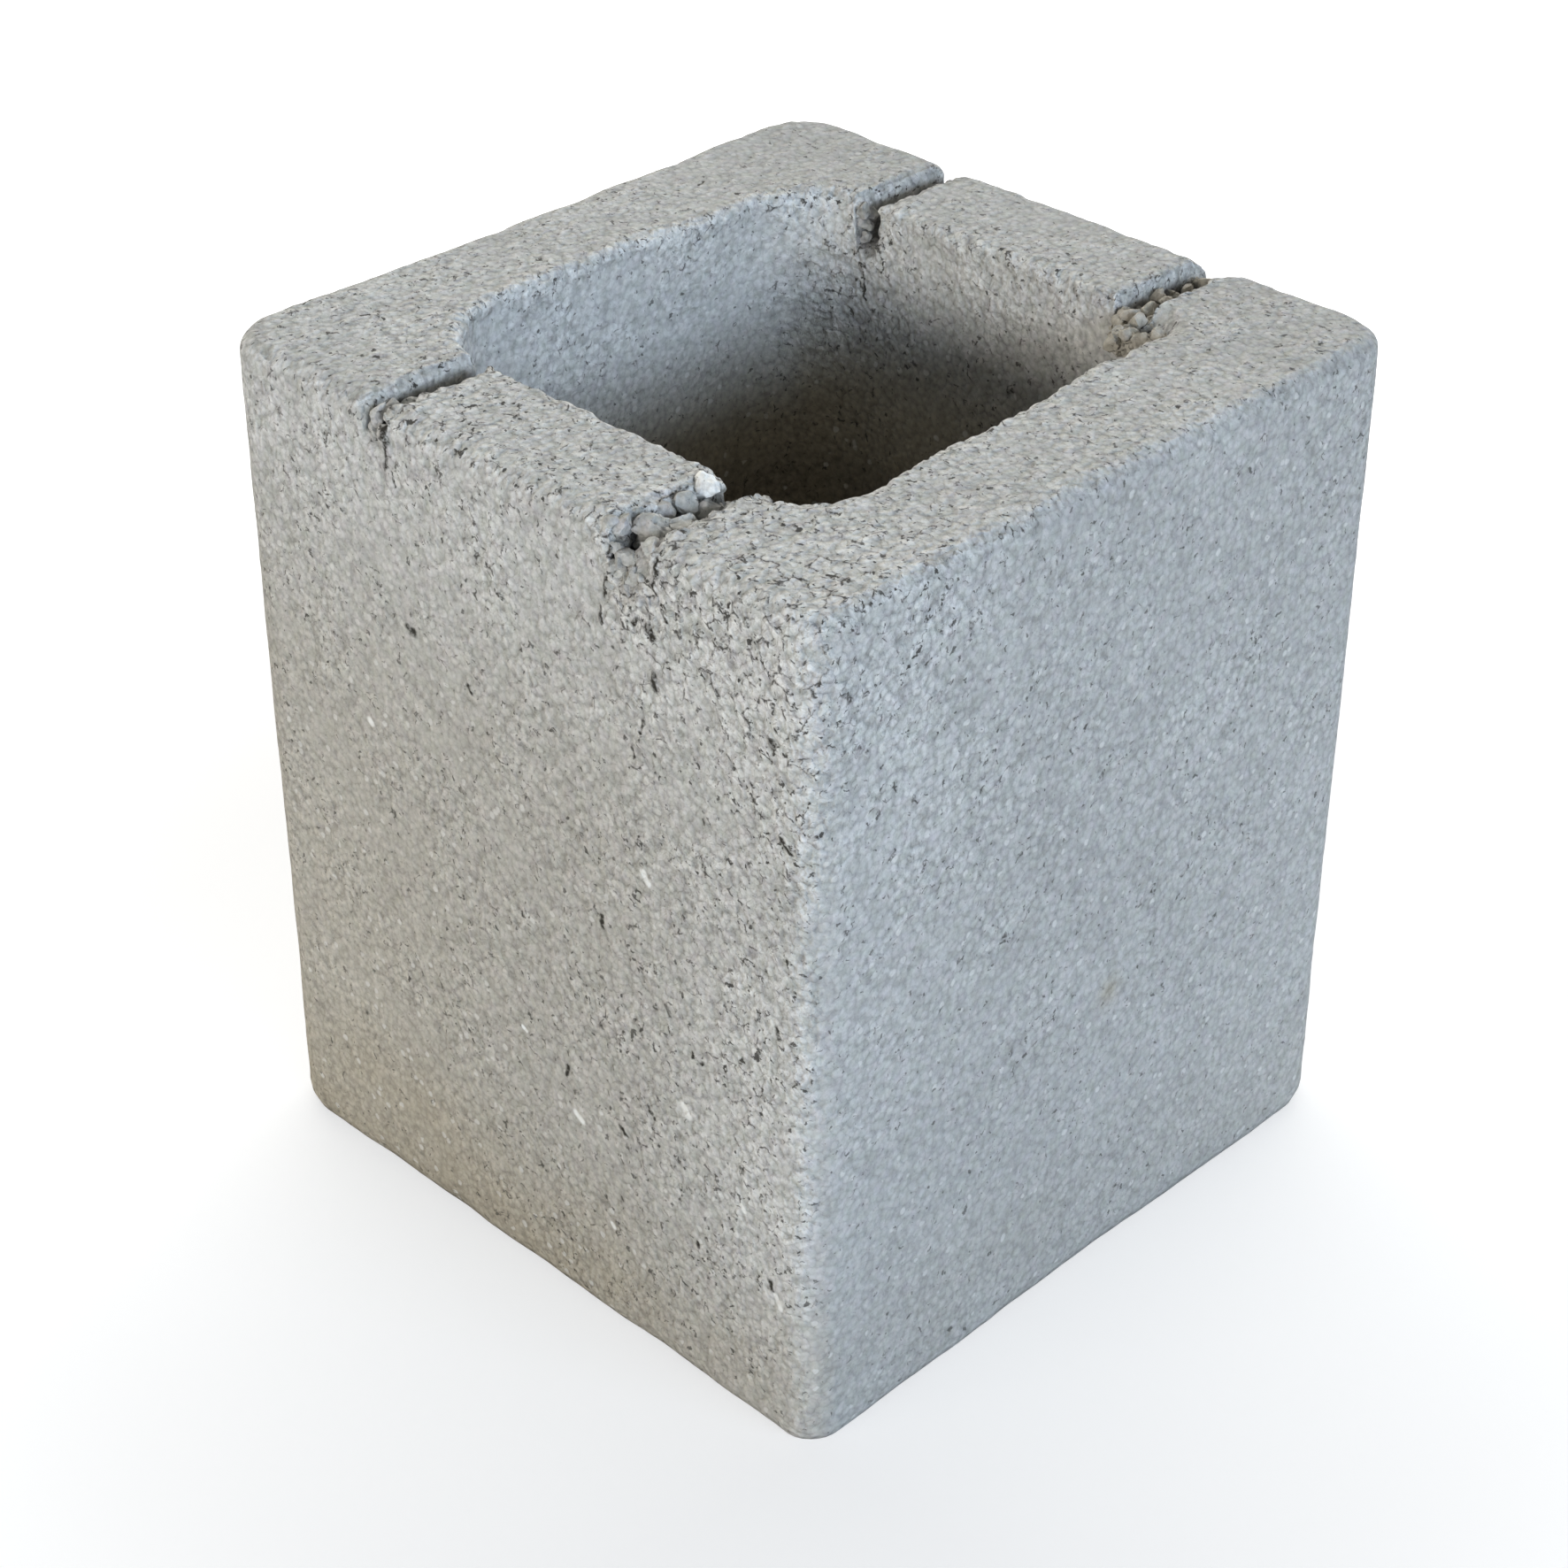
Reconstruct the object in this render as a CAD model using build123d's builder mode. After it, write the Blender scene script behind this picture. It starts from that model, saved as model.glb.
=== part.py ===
"""Pillar formwork block: a hollow square block of dry-cast concrete, cast in one piece.

The block stands on its foot with the origin in the middle of the foot face and +Z up.
A shaft for the filling concrete runs right through it from the rim to the foot.
Two core bars crossed the mould along Y and left four slots in the rim of the two Y walls.
All sizes are in millimetres and degrees.
"""
from build123d import *
from math import atan, degrees
import os

os.makedirs("parts", exist_ok=True)

# Outside of the block
block_width = 200.0
block_depth = 200.0
block_height = 230.0
corner_radius = 13.0
rim_edge_radius = 5.0
foot_edge_radius = 6.0

# Walls around the shaft, measured at the rim
side_wall = 35.0
slotted_wall = 35.0
shaft_corner_radius = 25.0
shaft_edge_radius = 2.5

# How much thicker each wall is at the foot, which lets the core draw out upwards
wall_draft = 3.0

# Slots that the core bars leave in the rim
slot_mouth_width = 10.0
slot_floor_width = 5.0
slot_depth = 20.0
slot_floor_radius = 1.5
slot_lip_radius = 2.0

# Distance from the shaft's side wall to the middle of the slot beside it
slot_inset = 22.0

# Open space that a cutting shape keeps beyond the block
cut_clearance = 5.0

# Shaft and slots worked out from the sizes above
shaft_width = block_width - 2 * side_wall
shaft_depth = block_depth - 2 * slotted_wall
shaft_taper = degrees(atan(wall_draft / block_height))
slot_offset = shaft_width / 2 - slot_inset
slot_lip_reach = slot_mouth_width / 2 + slot_lip_radius + cut_clearance


with BuildPart() as pillar_block:
    # Solid square prism with rounded upright edges, a softened rim and a softened foot
    with BuildSketch():
        RectangleRounded(block_width, block_depth, corner_radius)
    extrude(amount=block_height)
    rim_face = pillar_block.faces().sort_by(Axis.Z)[-1]
    fillet(rim_face.edges(), rim_edge_radius)
    foot_face = pillar_block.faces().sort_by(Axis.Z)[0]
    fillet(foot_face.edges(), foot_edge_radius)

    # Shaft, open at both ends and narrower at the foot
    with BuildSketch(Plane.XY.offset(block_height)):
        RectangleRounded(shaft_width, shaft_depth, shaft_corner_radius)
    extrude(amount=-block_height, taper=shaft_taper, mode=Mode.SUBTRACT)
    rim_face = pillar_block.faces().sort_by(Axis.Z)[-1]
    fillet(rim_face.inner_wires()[0].edges(), shaft_edge_radius)

    # Slots, tapered to their floor and rounded at their lips, cut through both Y walls at once
    with BuildSketch(Plane.XZ) as slot_section:
        with Locations((-slot_offset, block_height), (slot_offset, block_height)):
            Polygon(
                (-slot_lip_reach, cut_clearance),
                (-slot_lip_reach, 0),
                (-slot_mouth_width / 2, 0),
                (-slot_floor_width / 2, -slot_depth),
                (slot_floor_width / 2, -slot_depth),
                (slot_mouth_width / 2, 0),
                (slot_lip_reach, 0),
                (slot_lip_reach, cut_clearance),
                align=None,
            )
        slot_levels = slot_section.vertices().group_by(Axis.Y)
        fillet(slot_levels[0], slot_floor_radius)
        slot_levels = slot_section.vertices().group_by(Axis.Y)
        rim_level = slot_levels[-2].sort_by(Axis.X)
        fillet(rim_level[1:3] + rim_level[5:7], slot_lip_radius)
    extrude(amount=block_depth / 2 + cut_clearance, both=True, mode=Mode.SUBTRACT)

pillar_block.part.label = "pillar_block"
export_step(pillar_block.part, "parts/pillar_block.step")

print("volume in litres", round(pillar_block.part.volume / 1e6, 4))
print("box", pillar_block.part.bounding_box())
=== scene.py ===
"""Looks of a pillar formwork block: one casting of dry-cast concrete with crumbled slots in its rim.

The block stands on the origin with +Z up. The two walls across Y carry the slots, the two walls across X
are plain. Every class holds its lengths in millimetres, and a mesh gets them in metres.
"""
import itertools
import logging
import math
from dataclasses import dataclass, field, replace
from enum import Enum, IntEnum

import bmesh
import bpy
import numpy as np
from mathutils import Euler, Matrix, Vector


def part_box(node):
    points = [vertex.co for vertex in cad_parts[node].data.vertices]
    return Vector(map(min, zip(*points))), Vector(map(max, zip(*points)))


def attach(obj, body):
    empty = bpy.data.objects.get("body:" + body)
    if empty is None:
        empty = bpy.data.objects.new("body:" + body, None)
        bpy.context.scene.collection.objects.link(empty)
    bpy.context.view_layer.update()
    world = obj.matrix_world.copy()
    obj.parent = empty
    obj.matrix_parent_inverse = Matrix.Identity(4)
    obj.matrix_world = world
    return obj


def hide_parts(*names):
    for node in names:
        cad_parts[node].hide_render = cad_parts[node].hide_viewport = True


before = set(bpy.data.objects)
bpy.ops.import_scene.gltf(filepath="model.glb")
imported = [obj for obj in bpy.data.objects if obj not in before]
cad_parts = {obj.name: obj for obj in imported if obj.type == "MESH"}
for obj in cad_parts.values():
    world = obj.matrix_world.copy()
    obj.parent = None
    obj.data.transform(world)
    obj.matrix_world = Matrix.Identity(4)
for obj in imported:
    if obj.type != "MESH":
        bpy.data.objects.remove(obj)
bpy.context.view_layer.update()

BLOCK_NODE = "pillar_block"
ROOT_BODY = "root"
METRES = 0.001
WHITE = (1.0, 1.0, 1.0, 1.0)
FLAT_MAP = "OFBake"
MAP_MARGIN = 4.0

# Short names for the type hints
Triple = tuple[float, float, float]
Colour = tuple[float, float, float, float]
Faces = list[tuple[int, ...]]
Named = dict[str, np.ndarray]
Socket = bpy.types.NodeSocket

log = logging.getLogger("pillar_block_looks")


# Noise worked out on whole arrays

def hash_unit(cells: np.ndarray, seed: int) -> np.ndarray:
    """Gives every whole-number cell its own number from 0 to 1.

    The three cell numbers are multiplied by large primes and mixed by shifts and products, all in 32 bits.

    Args:
        cells: whole numbers, with x, y and z in the last axis.
        seed: picks one of many unrelated patterns.

    Returns:
        One number for each cell.
    """
    low_bits = (cells & 0xFFFFFFFF).astype(np.uint32)
    mixed = low_bits[..., 0] * np.uint32(73856093)
    mixed ^= low_bits[..., 1] * np.uint32(19349663)
    mixed ^= low_bits[..., 2] * np.uint32(83492791)
    mixed ^= np.uint32((seed * 2654435761 + 97) & 0xFFFFFFFF)
    mixed ^= mixed >> np.uint32(16)
    mixed *= np.uint32(0x7FEB352D)
    mixed ^= mixed >> np.uint32(15)
    mixed *= np.uint32(0x846CA68B)
    mixed ^= mixed >> np.uint32(16)
    return mixed / 2.0**32


def smooth_noise(points: np.ndarray, size: float, seed: int) -> np.ndarray:
    """Smooth noise from -1 to 1.

    Each corner of a cubic lattice has a random value, and a point blends the eight around it by 3t^2 - 2t^3.

    Args:
        points: places in millimetres, with x, y and z in the last axis.
        size: edge of one lattice cell.
        seed: picks the pattern.

    Returns:
        One value for each point.
    """
    scaled = points / size
    cell = np.floor(scaled).astype(np.int64)
    part = scaled - cell
    part = part * part * (3 - 2 * part)
    total = np.zeros(points.shape[:-1])
    for corner in itertools.product((0, 1), repeat=3):
        weight = np.prod(np.where(corner, part, 1 - part), axis=-1)
        total += weight * hash_unit(cell + np.array(corner), seed)
    return 2 * total - 1


def layered_noise(points: np.ndarray, size: float, seed: int, layers: int = 3) -> np.ndarray:
    """Sum of smooth noises, each half the size and half the strength of the one before.

    Args:
        points: places in millimetres.
        size: cell size of the first layer.
        seed: picks the pattern.
        layers: how many noises are summed.

    Returns:
        One value for each point, mostly from -1 to 1.
    """
    total = np.zeros(points.shape[:-1])
    for layer in range(layers):
        total += smooth_noise(points, size / 2**layer, seed + layer) / 2**layer
    return total / (2 - 2.0 ** (1 - layers))


def grain_noise(points: np.ndarray, size: float, seed: int) -> tuple[np.ndarray, np.ndarray, np.ndarray]:
    """Distances to scattered seeds, one to a cell, as between the grains of a mix.

    Args:
        points: places in millimetres.
        size: edge of one cell.
        seed: picks the pattern.

    Returns:
        The distance to the nearest seed, the distance to the next one, and the nearest seed's own number.
    """
    scaled = points / size
    cell = np.floor(scaled).astype(np.int64)
    nearest = np.full(points.shape[:-1], 9.0)
    second = nearest.copy()
    mark = np.zeros_like(nearest)
    for offset in itertools.product((-1, 0, 1), repeat=3):
        other = cell + np.array(offset)
        spot = other + np.stack([hash_unit(other, seed + axis) for axis in range(3)], axis=-1)
        distance = np.linalg.norm(scaled - spot, axis=-1)
        closer = distance < nearest
        second = np.where(closer, nearest, np.minimum(second, distance))
        mark = np.where(closer, hash_unit(other, seed + 3), mark)
        nearest = np.minimum(nearest, distance)
    return nearest * size, second * size, mark


def ease(low: float, high: float, value: np.ndarray) -> np.ndarray:
    """Smooth step 3t^2 - 2t^3 from 0 at low to 1 at high, where low may be the larger of the two."""
    t = np.clip((value - low) / (high - low), 0, 1)
    return t * t * (3 - 2 * t)


def soften(u: np.ndarray, v: np.ndarray, radius: np.ndarray) -> tuple[np.ndarray, np.ndarray]:
    """Rounds the sharp edge where the distances u and v from two faces are both zero.

    A layer at depth t = min(u, v) is bent onto an arc of radius r - t: the angle runs from 0 to a quarter
    turn as u - v runs from -(r - t) to r - t, and the arc is u = t + r(1 - cos), v = t + r(1 - sin).

    Args:
        u: distance from the first face.
        v: distance from the second face.
        radius: radius of the rounded edge.

    Returns:
        The new distances from the two faces.
    """
    layer = np.minimum(u, v)
    room = np.maximum(radius - layer, 1e-6)
    turn = np.pi / 4 * (1 + np.clip((u - v) / room, -1, 1))
    bent = (radius > layer) & (np.abs(u - v) < room)
    new_u = np.where(bent, layer + room * (1 - np.cos(turn)), u)
    new_v = np.where(bent, layer + room * (1 - np.sin(turn)), v)
    return new_u, new_v


# The casting

# Where the faces lie in the flat map, in millimetres: outer faces and shaft walls side by side, rim and foot
# by their middles, and each slot's walls and floor above one another
MAP_MIDDLE = 110.0
MAP_PITCH = 220.0
SHAFT_LEVEL = 240.0
RIM_MIDDLE = (110.0, 590.0)
FOOT_MIDDLE = (330.0, 590.0)
SLOT_CORNER = (440.0, 560.0)
SLOT_PITCH = (40.0, 60.0)
SLOT_LENGTH = 36.0


class Side(Enum):
    """Outer faces of the block, in the order in which the ring of columns passes their middles."""

    FRONT = 0
    RIGHT = 1
    BACK = 2
    LEFT = 3


class Zone(IntEnum):
    """Stretches of a quarter of the ring, from a slotted wall's middle to a plain wall's."""

    PANEL = 0
    SLOT = 1
    SHOULDER = 2
    FLANK = 3


class Facing(Enum):
    """Ways out of the concrete: away from the block, into the shaft, up, down, or into a slot."""

    OUT = "out"
    IN = "in"
    UP = "up"
    DOWN = "down"
    GAP = "gap"


@dataclass(frozen=True)
class Slot:
    """One slot left by a core bar in the rim of a slotted wall.

    The wall nearer to the middle of the block is called near, the other one far.

    Attributes:
        near: distance from the block's middle plane to the near wall at the rim.
        far: the same for the far wall.
        near_lip: rounding of the near lip.
        far_lip: rounding of the far lip.
        depths: depth of the slot's floor at the outer face, in the wall's middle and at the shaft.
        near_ragged: how crumbled the near wall is, from 0 to 1.
        far_ragged: how crumbled the far wall is, from 0 to 1.
    """

    near: float
    far: float
    near_lip: float
    far_lip: float
    depths: Triple
    near_ragged: float
    far_ragged: float


@dataclass
class Patch:
    """A grid of places on the casting that becomes one stretch of its skin.

    Attributes:
        column: ring column of each grid point.
        across: place through the wall, 0 at the outer face and 1 at the shaft.
        height: height above the foot before any edge is softened.
        uv: place in the flat map, in millimetres.
        facing: which way out of the concrete its faces look.
        keep: which cells are skin, or None for all.
    """

    column: np.ndarray
    across: np.ndarray
    height: np.ndarray
    uv: np.ndarray
    facing: Facing
    keep: np.ndarray | None = None


@dataclass
class CastBlock:
    """The block's skin as one closed surface of grids.

    A ring of columns runs round the walls. A point is given by its column, its place through the wall and
    its height. The ring starts at the front wall's middle and goes round by the right-hand wall.

    Attributes:
        half_width: half of the block's width, across the plain walls.
        half_depth: half of its depth, across the slotted walls.
        tall: its height.
        corner: radius of its upright edges.
        front_corner: radius of the worn upright edge between the front and the right wall.
        wall_left: thickness of the left wall at the rim.
        wall_right: the same for the right wall.
        wall_front: the same for the front wall.
        wall_back: the same for the back wall.
        draft: how much thicker each wall is at the foot.
        shaft_corner: radius of the shaft's corners at the rim.
        rim_edge: rounding of the rim's outer edge.
        shaft_edge: rounding of its edge at the shaft.
        foot_edge: rounding of the foot's outer edge.
        foot_shaft_edge: rounding of its edge at the shaft.
        wander: share by which the roundings swell and shrink along their edges.
        mouth_edge: rounding of the upright edges at a slot's two ends.
        slot_narrowing: share of its mouth that each wall of a slot leans in by.
        slot_relax: height over which the columns below a slot's floor straighten.
        slots: the four slots, by the signs of their x and y.
        panel_columns: columns of the ring from a slotted wall's middle to its slot.
        slot_columns: columns across a slot.
        shoulder_columns: columns from the slot to the middle of the upright edge.
        flank_columns: columns from there to the plain wall's middle.
        slot_rows: rows beside a slot.
        slot_band: height of these rows far from the slots.
        outer_rows: rows of an outer face below them.
        outer_steps: relative height of the first and the last of these.
        shaft_rows: rows of the shaft's wall below the slots with all the columns.
        shaft_step: height of one of these.
        join_step: height of the row below them, where every other column ends.
        deep_rows: rows of the shaft's wall below that.
        deep_steps: relative height of the first and the last of these.
        rim_rows: rows from the outer face to the shaft.
        foot_rims: places through the wall of the foot's rows with all the columns.
        foot_inner: place through the wall where its rows with half the columns start.
        foot_rows: number of these.
    """

    half_width: float = 100.0
    half_depth: float = 100.0
    tall: float = 230.0
    corner: float = 13.0
    front_corner: float = 8.5
    wall_left: float = 33.0
    wall_right: float = 36.5
    wall_front: float = 34.5
    wall_back: float = 34.8
    draft: float = 3.0
    shaft_corner: float = 25.0
    rim_edge: float = 5.0
    shaft_edge: float = 3.0
    foot_edge: float = 5.5
    foot_shaft_edge: float = 2.0
    wander: float = 0.3
    mouth_edge: float = 2.0
    slot_narrowing: float = 0.14
    slot_relax: float = 45.0
    slots: dict[tuple[int, int], Slot] = field(default_factory=lambda: {
        (-1, -1): Slot(37.9, 46.8, 1.4, 2.8, (7.0, 15.0, 14.0), 0.9, 0.15),
        (1, -1): Slot(36.6, 49.4, 2.2, 1.6, (11.0, 11.0, 9.0), 1.0, 0.8),
        (-1, 1): Slot(38.8, 47.4, 1.4, 3.2, (12.0, 14.0, 13.0), 0.6, 0.1),
        (1, 1): Slot(39.2, 50.0, 2.0, 1.8, (4.2, 12.0, 10.0), 0.2, 0.9),
    })
    panel_columns: int = 24
    slot_columns: int = 8
    shoulder_columns: int = 34
    flank_columns: int = 54
    slot_rows: int = 14
    slot_band: float = 14.0
    outer_rows: int = 92
    outer_steps: tuple[float, float] = (1.3, 2.7)
    shaft_rows: int = 9
    shaft_step: float = 2.0
    join_step: float = 2.4
    deep_rows: int = 28
    deep_steps: tuple[float, float] = (2.6, 9.0)
    rim_rows: int = 30
    foot_rims: tuple[float, ...] = (0.0, 0.04, 0.09, 0.15)
    foot_inner: float = 0.21
    foot_rows: int = 4

    def __post_init__(self) -> None:
        """Lists the ring's columns with their signs of x and y, their zones, places there and sizes."""
        zone_list, part_list = [], []
        for number, steps in (
            (Zone.PANEL, np.linspace(2.0, 0.8, self.panel_columns)),
            (Zone.SLOT, np.ones(self.slot_columns)),
            (Zone.SHOULDER, np.linspace(0.8, 1.8, self.shoulder_columns)),
            (Zone.FLANK, np.ones(self.flank_columns)),
        ):
            zone_list += [number] * len(steps)
            part_list += list(np.concatenate(([0.0], np.cumsum(steps)[:-1])) / steps.sum())
        self.quarter = len(zone_list)
        self.ring = 4 * self.quarter
        self.near_column = self.panel_columns
        self.far_column = self.panel_columns + self.slot_columns
        self.corner_column = self.far_column + self.shoulder_columns
        forwards = np.arange(self.quarter)
        order = np.concatenate([forwards, self.quarter - forwards] * 2)
        self.zone = np.array(zone_list + [Zone.FLANK])[order]
        self.part = np.array(part_list + [1.0])[order]
        corners = ((1, -1), (1, 1), (-1, 1), (-1, -1))
        self.sign = np.repeat(corners, self.quarter, axis=0)
        sizes = [self.quadrant_sizes(side_x, side_y) for side_x, side_y in corners]
        self.sizes = {key: np.repeat([row[key] for row in sizes], self.quarter) for key in sizes[0]}

    def quadrant_sizes(self, side_x: int, side_y: int) -> dict[str, float]:
        """Gathers the sizes that hold for one quadrant of the block.

        Args:
            side_x: sign of the quadrant's x.
            side_y: sign of its y.

        Returns:
            The sizes of its slot, its walls and its upright edge, by name.
        """
        slot = self.slots[(side_x, side_y)]
        outer, middle, inner = slot.depths
        return {
            "near": slot.near, "far": slot.far, "near_lip": slot.near_lip, "far_lip": slot.far_lip,
            "outer_depth": outer, "middle_depth": middle, "inner_depth": inner,
            "near_ragged": slot.near_ragged, "far_ragged": slot.far_ragged,
            "wall_x": self.wall_right if side_x > 0 else self.wall_left,
            "wall_y": self.wall_back if side_y > 0 else self.wall_front,
            "corner": self.front_corner if (side_x, side_y) == (1, -1) else self.corner,
        }

    def quarter_outline(self, along: np.ndarray, half_x: np.ndarray, half_y: np.ndarray,
                        radius: np.ndarray) -> tuple[np.ndarray, np.ndarray]:
        """A quarter of a rounded rectangle, from the slotted side's middle to the plain one's.

        The run is straight for half_x - radius, then turns a quarter circle, and is straight again.

        Args:
            along: length along the run.
            half_x: half of the rectangle's width.
            half_y: half of its depth.
            radius: corner radius.

        Returns:
            The distances of each point from the two middle planes.
        """
        straight = half_x - radius
        turn = np.clip((along - straight) / radius, 0, np.pi / 2)
        x = np.clip(along, 0, straight) + radius * np.sin(turn)
        y = half_y - radius * (1 - np.cos(turn)) - np.maximum(along - straight - radius * np.pi / 2, 0)
        return x, y

    def along_at(self, x: np.ndarray, half_x: np.ndarray, radius: np.ndarray) -> np.ndarray:
        """Length along the quarter outline up to x: x itself, then the arc r asin((x - straight) / r).

        Args:
            x: distance from the middle plane.
            half_x: half of the rectangle's width.
            radius: corner radius.

        Returns:
            The length up to each x.
        """
        straight = half_x - radius
        swing = np.arcsin(np.clip((x - straight) / radius, 0, 1))
        return np.minimum(x, straight) + radius * swing

    def slot_depth(self, column: np.ndarray, across: np.ndarray) -> np.ndarray:
        """Depth of the slot's floor through the wall: its three stated depths, joined by smooth steps.

        Args:
            column: ring column.
            across: 0 at the outer face, 1 at the shaft.

        Returns:
            The depth below the rim at each point.
        """
        column = np.mod(column, self.ring)
        outer, middle, inner = (self.sizes[key + "_depth"][column] for key in ("outer", "middle", "inner"))
        step = (middle - outer) * ease(0.05, 0.4, across)
        return outer + step + (inner - middle) * ease(0.6, 0.95, across)

    def slot_share(self, column: np.ndarray, across: np.ndarray) -> np.ndarray:
        """Height of the fine upper rows: the slot's depth beside it, easing to a common one further off.

        Args:
            column: ring column.
            across: 0 at the outer face, 1 at the shaft.

        Returns:
            The height below the rim at which the upper rows end.
        """
        column = np.mod(column, self.ring)
        depth = self.slot_depth(column, across)
        zone, part = self.zone[column], self.part[column]
        zones = [zone == Zone.PANEL, zone == Zone.SLOT, zone == Zone.SHOULDER]
        away = np.select(zones, [1 - part, 0 * part, part], 1.0)
        return depth + (self.slot_band - depth) * ease(0.1, 0.9, away)

    def place(self, column: np.ndarray, across: np.ndarray, height: np.ndarray) -> Named:
        """Places points of the casting and softens its edges.

        A point starts on the straight line between the outer outline and the shaft's outline at its column.
        Each pair of faces that meet at an edge then bends the point's two distances from them onto an arc.

        Args:
            column: ring column.
            across: 0 at the outer face, 1 at the shaft.
            height: height above the foot with sharp edges.

        Returns:
            The points, and each point's distances from the faces around it.
        """
        column = np.mod(column, self.ring)
        size = {key: values[column] for key, values in self.sizes.items()}
        corner = size["corner"]
        zone, part = self.zone[column], self.part[column]
        side_x, side_y = self.sign[column][..., 0], self.sign[column][..., 1]
        drop = self.tall - height
        depth = self.slot_depth(column, across)
        lean = self.slot_narrowing * (size["far"] - size["near"]) * np.clip(drop / depth, 0, 1)
        lean = lean * (1 - ease(0.0, self.slot_relax, drop - depth))
        near, far = size["near"] + lean, size["far"] - lean
        taper = self.draft * drop / self.tall
        shaft_x = self.half_width - size["wall_x"] - taper
        shaft_y = self.half_depth - size["wall_y"] - taper
        shaft_r = self.shaft_corner - taper
        outer_mid = self.half_width - corner * (1 - np.pi / 4)
        outer_end = self.half_width + self.half_depth - (2 - np.pi / 2) * corner
        shaft_mid = shaft_x - shaft_r * (1 - np.pi / 4)
        shaft_end = shaft_x + shaft_y - (2 - np.pi / 2) * shaft_r
        straight_x = np.where(zone == Zone.PANEL, near * part, near + (far - near) * part)
        far_in = self.along_at(far, shaft_x, shaft_r)
        stretches = [zone <= Zone.SLOT, zone == Zone.SHOULDER]
        outer_along = np.select(
            stretches, [straight_x, far + (outer_mid - far) * part],
            outer_mid + (outer_end - outer_mid) * part)
        shaft_along = np.select(
            stretches, [self.along_at(straight_x, shaft_x, shaft_r), far_in + (shaft_mid - far_in) * part],
            shaft_mid + (shaft_end - shaft_mid) * part)
        outer = self.quarter_outline(outer_along, self.half_width, self.half_depth, corner)
        shaft = self.quarter_outline(shaft_along, shaft_x, shaft_y, shaft_r)
        span_x, span_y = shaft[0] - outer[0], shaft[1] - outer[1]
        thick = np.hypot(span_x, span_y)
        from_out, from_shaft = across * thick, (1 - across) * thick
        slotted = zone <= Zone.SHOULDER
        on_floor = (zone == Zone.SLOT) & (part > 0)
        beside = np.where(zone == Zone.PANEL, near - straight_x, outer_along - far)
        beside = np.where(on_floor, 0.0, beside)
        from_top = np.where(on_floor, np.maximum(drop - depth, 0), drop)
        seat = np.stack([side_x * outer[0], side_y * outer[1], height], axis=-1)
        wander = 1 + self.wander * layered_noise(seat, 14.0, 5)
        lip = np.where(zone == Zone.SHOULDER, size["far_lip"], size["near_lip"]) * (slotted & ~on_floor)
        mouth_edge = self.mouth_edge * np.clip((depth - drop) / 3, 0, 1) * slotted
        new_beside, new_top = soften(beside, from_top, lip * wander)
        new_out, new_beside = soften(from_out, new_beside, mouth_edge)
        new_shaft, new_beside = soften(from_shaft, new_beside, mouth_edge)
        new_out, new_top = soften(new_out, new_top, self.rim_edge * wander)
        new_shaft, new_top = soften(new_shaft, new_top, self.shaft_edge * wander)
        new_out, new_foot = soften(new_out, height, self.foot_edge * wander)
        new_shaft, new_foot = soften(new_shaft, new_foot, self.foot_shaft_edge * wander)
        reach = new_out - (new_shaft - from_shaft)
        slide = (new_beside - beside) * np.where(zone == Zone.PANEL, -1, 1) * slotted
        x = outer[0] + span_x / thick * reach + slide
        y = outer[1] + span_y / thick * reach
        z = height - (new_top - from_top) + (new_foot - height)
        far_share = np.select([zone == Zone.PANEL, zone == Zone.SLOT], [0 * part, part], 1.0)
        ragged = size["near_ragged"] + (size["far_ragged"] - size["near_ragged"]) * far_share
        return {
            "point": np.stack([side_x * x, side_y * y, z], axis=-1),
            "out": from_out, "shaft": from_shaft, "top": drop, "foot": height,
            "beside": np.where(slotted, beside, 99.0), "depth": depth,
            "ragged": ragged * slotted,
        }

    def side_columns(self, side: Side) -> np.ndarray:
        """Lists the ring columns of one outer face, from the middle of one upright edge to that of the next.

        Args:
            side: the face.

        Returns:
            The columns in the ring's order, which may start below 0.
        """
        middle = side.value * self.quarter
        slotted = side in (Side.FRONT, Side.BACK)
        to_edge = self.corner_column if slotted else self.quarter - self.corner_column
        return np.arange(middle - to_edge, middle + to_edge + 1)

    def is_slot_cell(self, columns: np.ndarray) -> np.ndarray:
        """Says for each pair of neighbouring columns whether the strip between them lies in a slot.

        Args:
            columns: ring columns in order.

        Returns:
            One truth value for each strip.
        """
        middle = np.mod(columns[:-1] + 0.5, self.quarter)
        quadrant = (np.mod(columns[:-1], self.ring) // self.quarter).astype(int)
        local = np.where(quadrant % 2 == 0, middle, self.quarter - middle)
        return (local > self.near_column) & (local < self.far_column)

    def rows_below(self, count: int, ends: tuple[float, float]) -> np.ndarray:
        """Fractions from 0 to 1 whose steps grow evenly from the first of the ends to the second."""
        steps = np.linspace(*ends, count)
        return np.concatenate(([0.0], np.cumsum(steps))) / steps.sum()

    def patches(self) -> tuple[list[Patch], list[tuple[Patch, Patch]]]:
        """Lays out the skin as grids, and as pairs of rows that join a fine grid to one half as fine.

        Returns:
            The grids, and the pairs of rows.
        """
        grids, joins = [], []
        for side in Side:
            columns = self.side_columns(side)
            shaft, shaft_join = self.shaft_wall(columns, side)
            level, foot_join = self.rim_and_foot(columns)
            grids += [self.outer_face(columns, side), *shaft, *level]
            joins += [shaft_join, foot_join]
        for quadrant in range(4):
            grids += self.slot_walls(quadrant)
        return grids, joins

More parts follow.
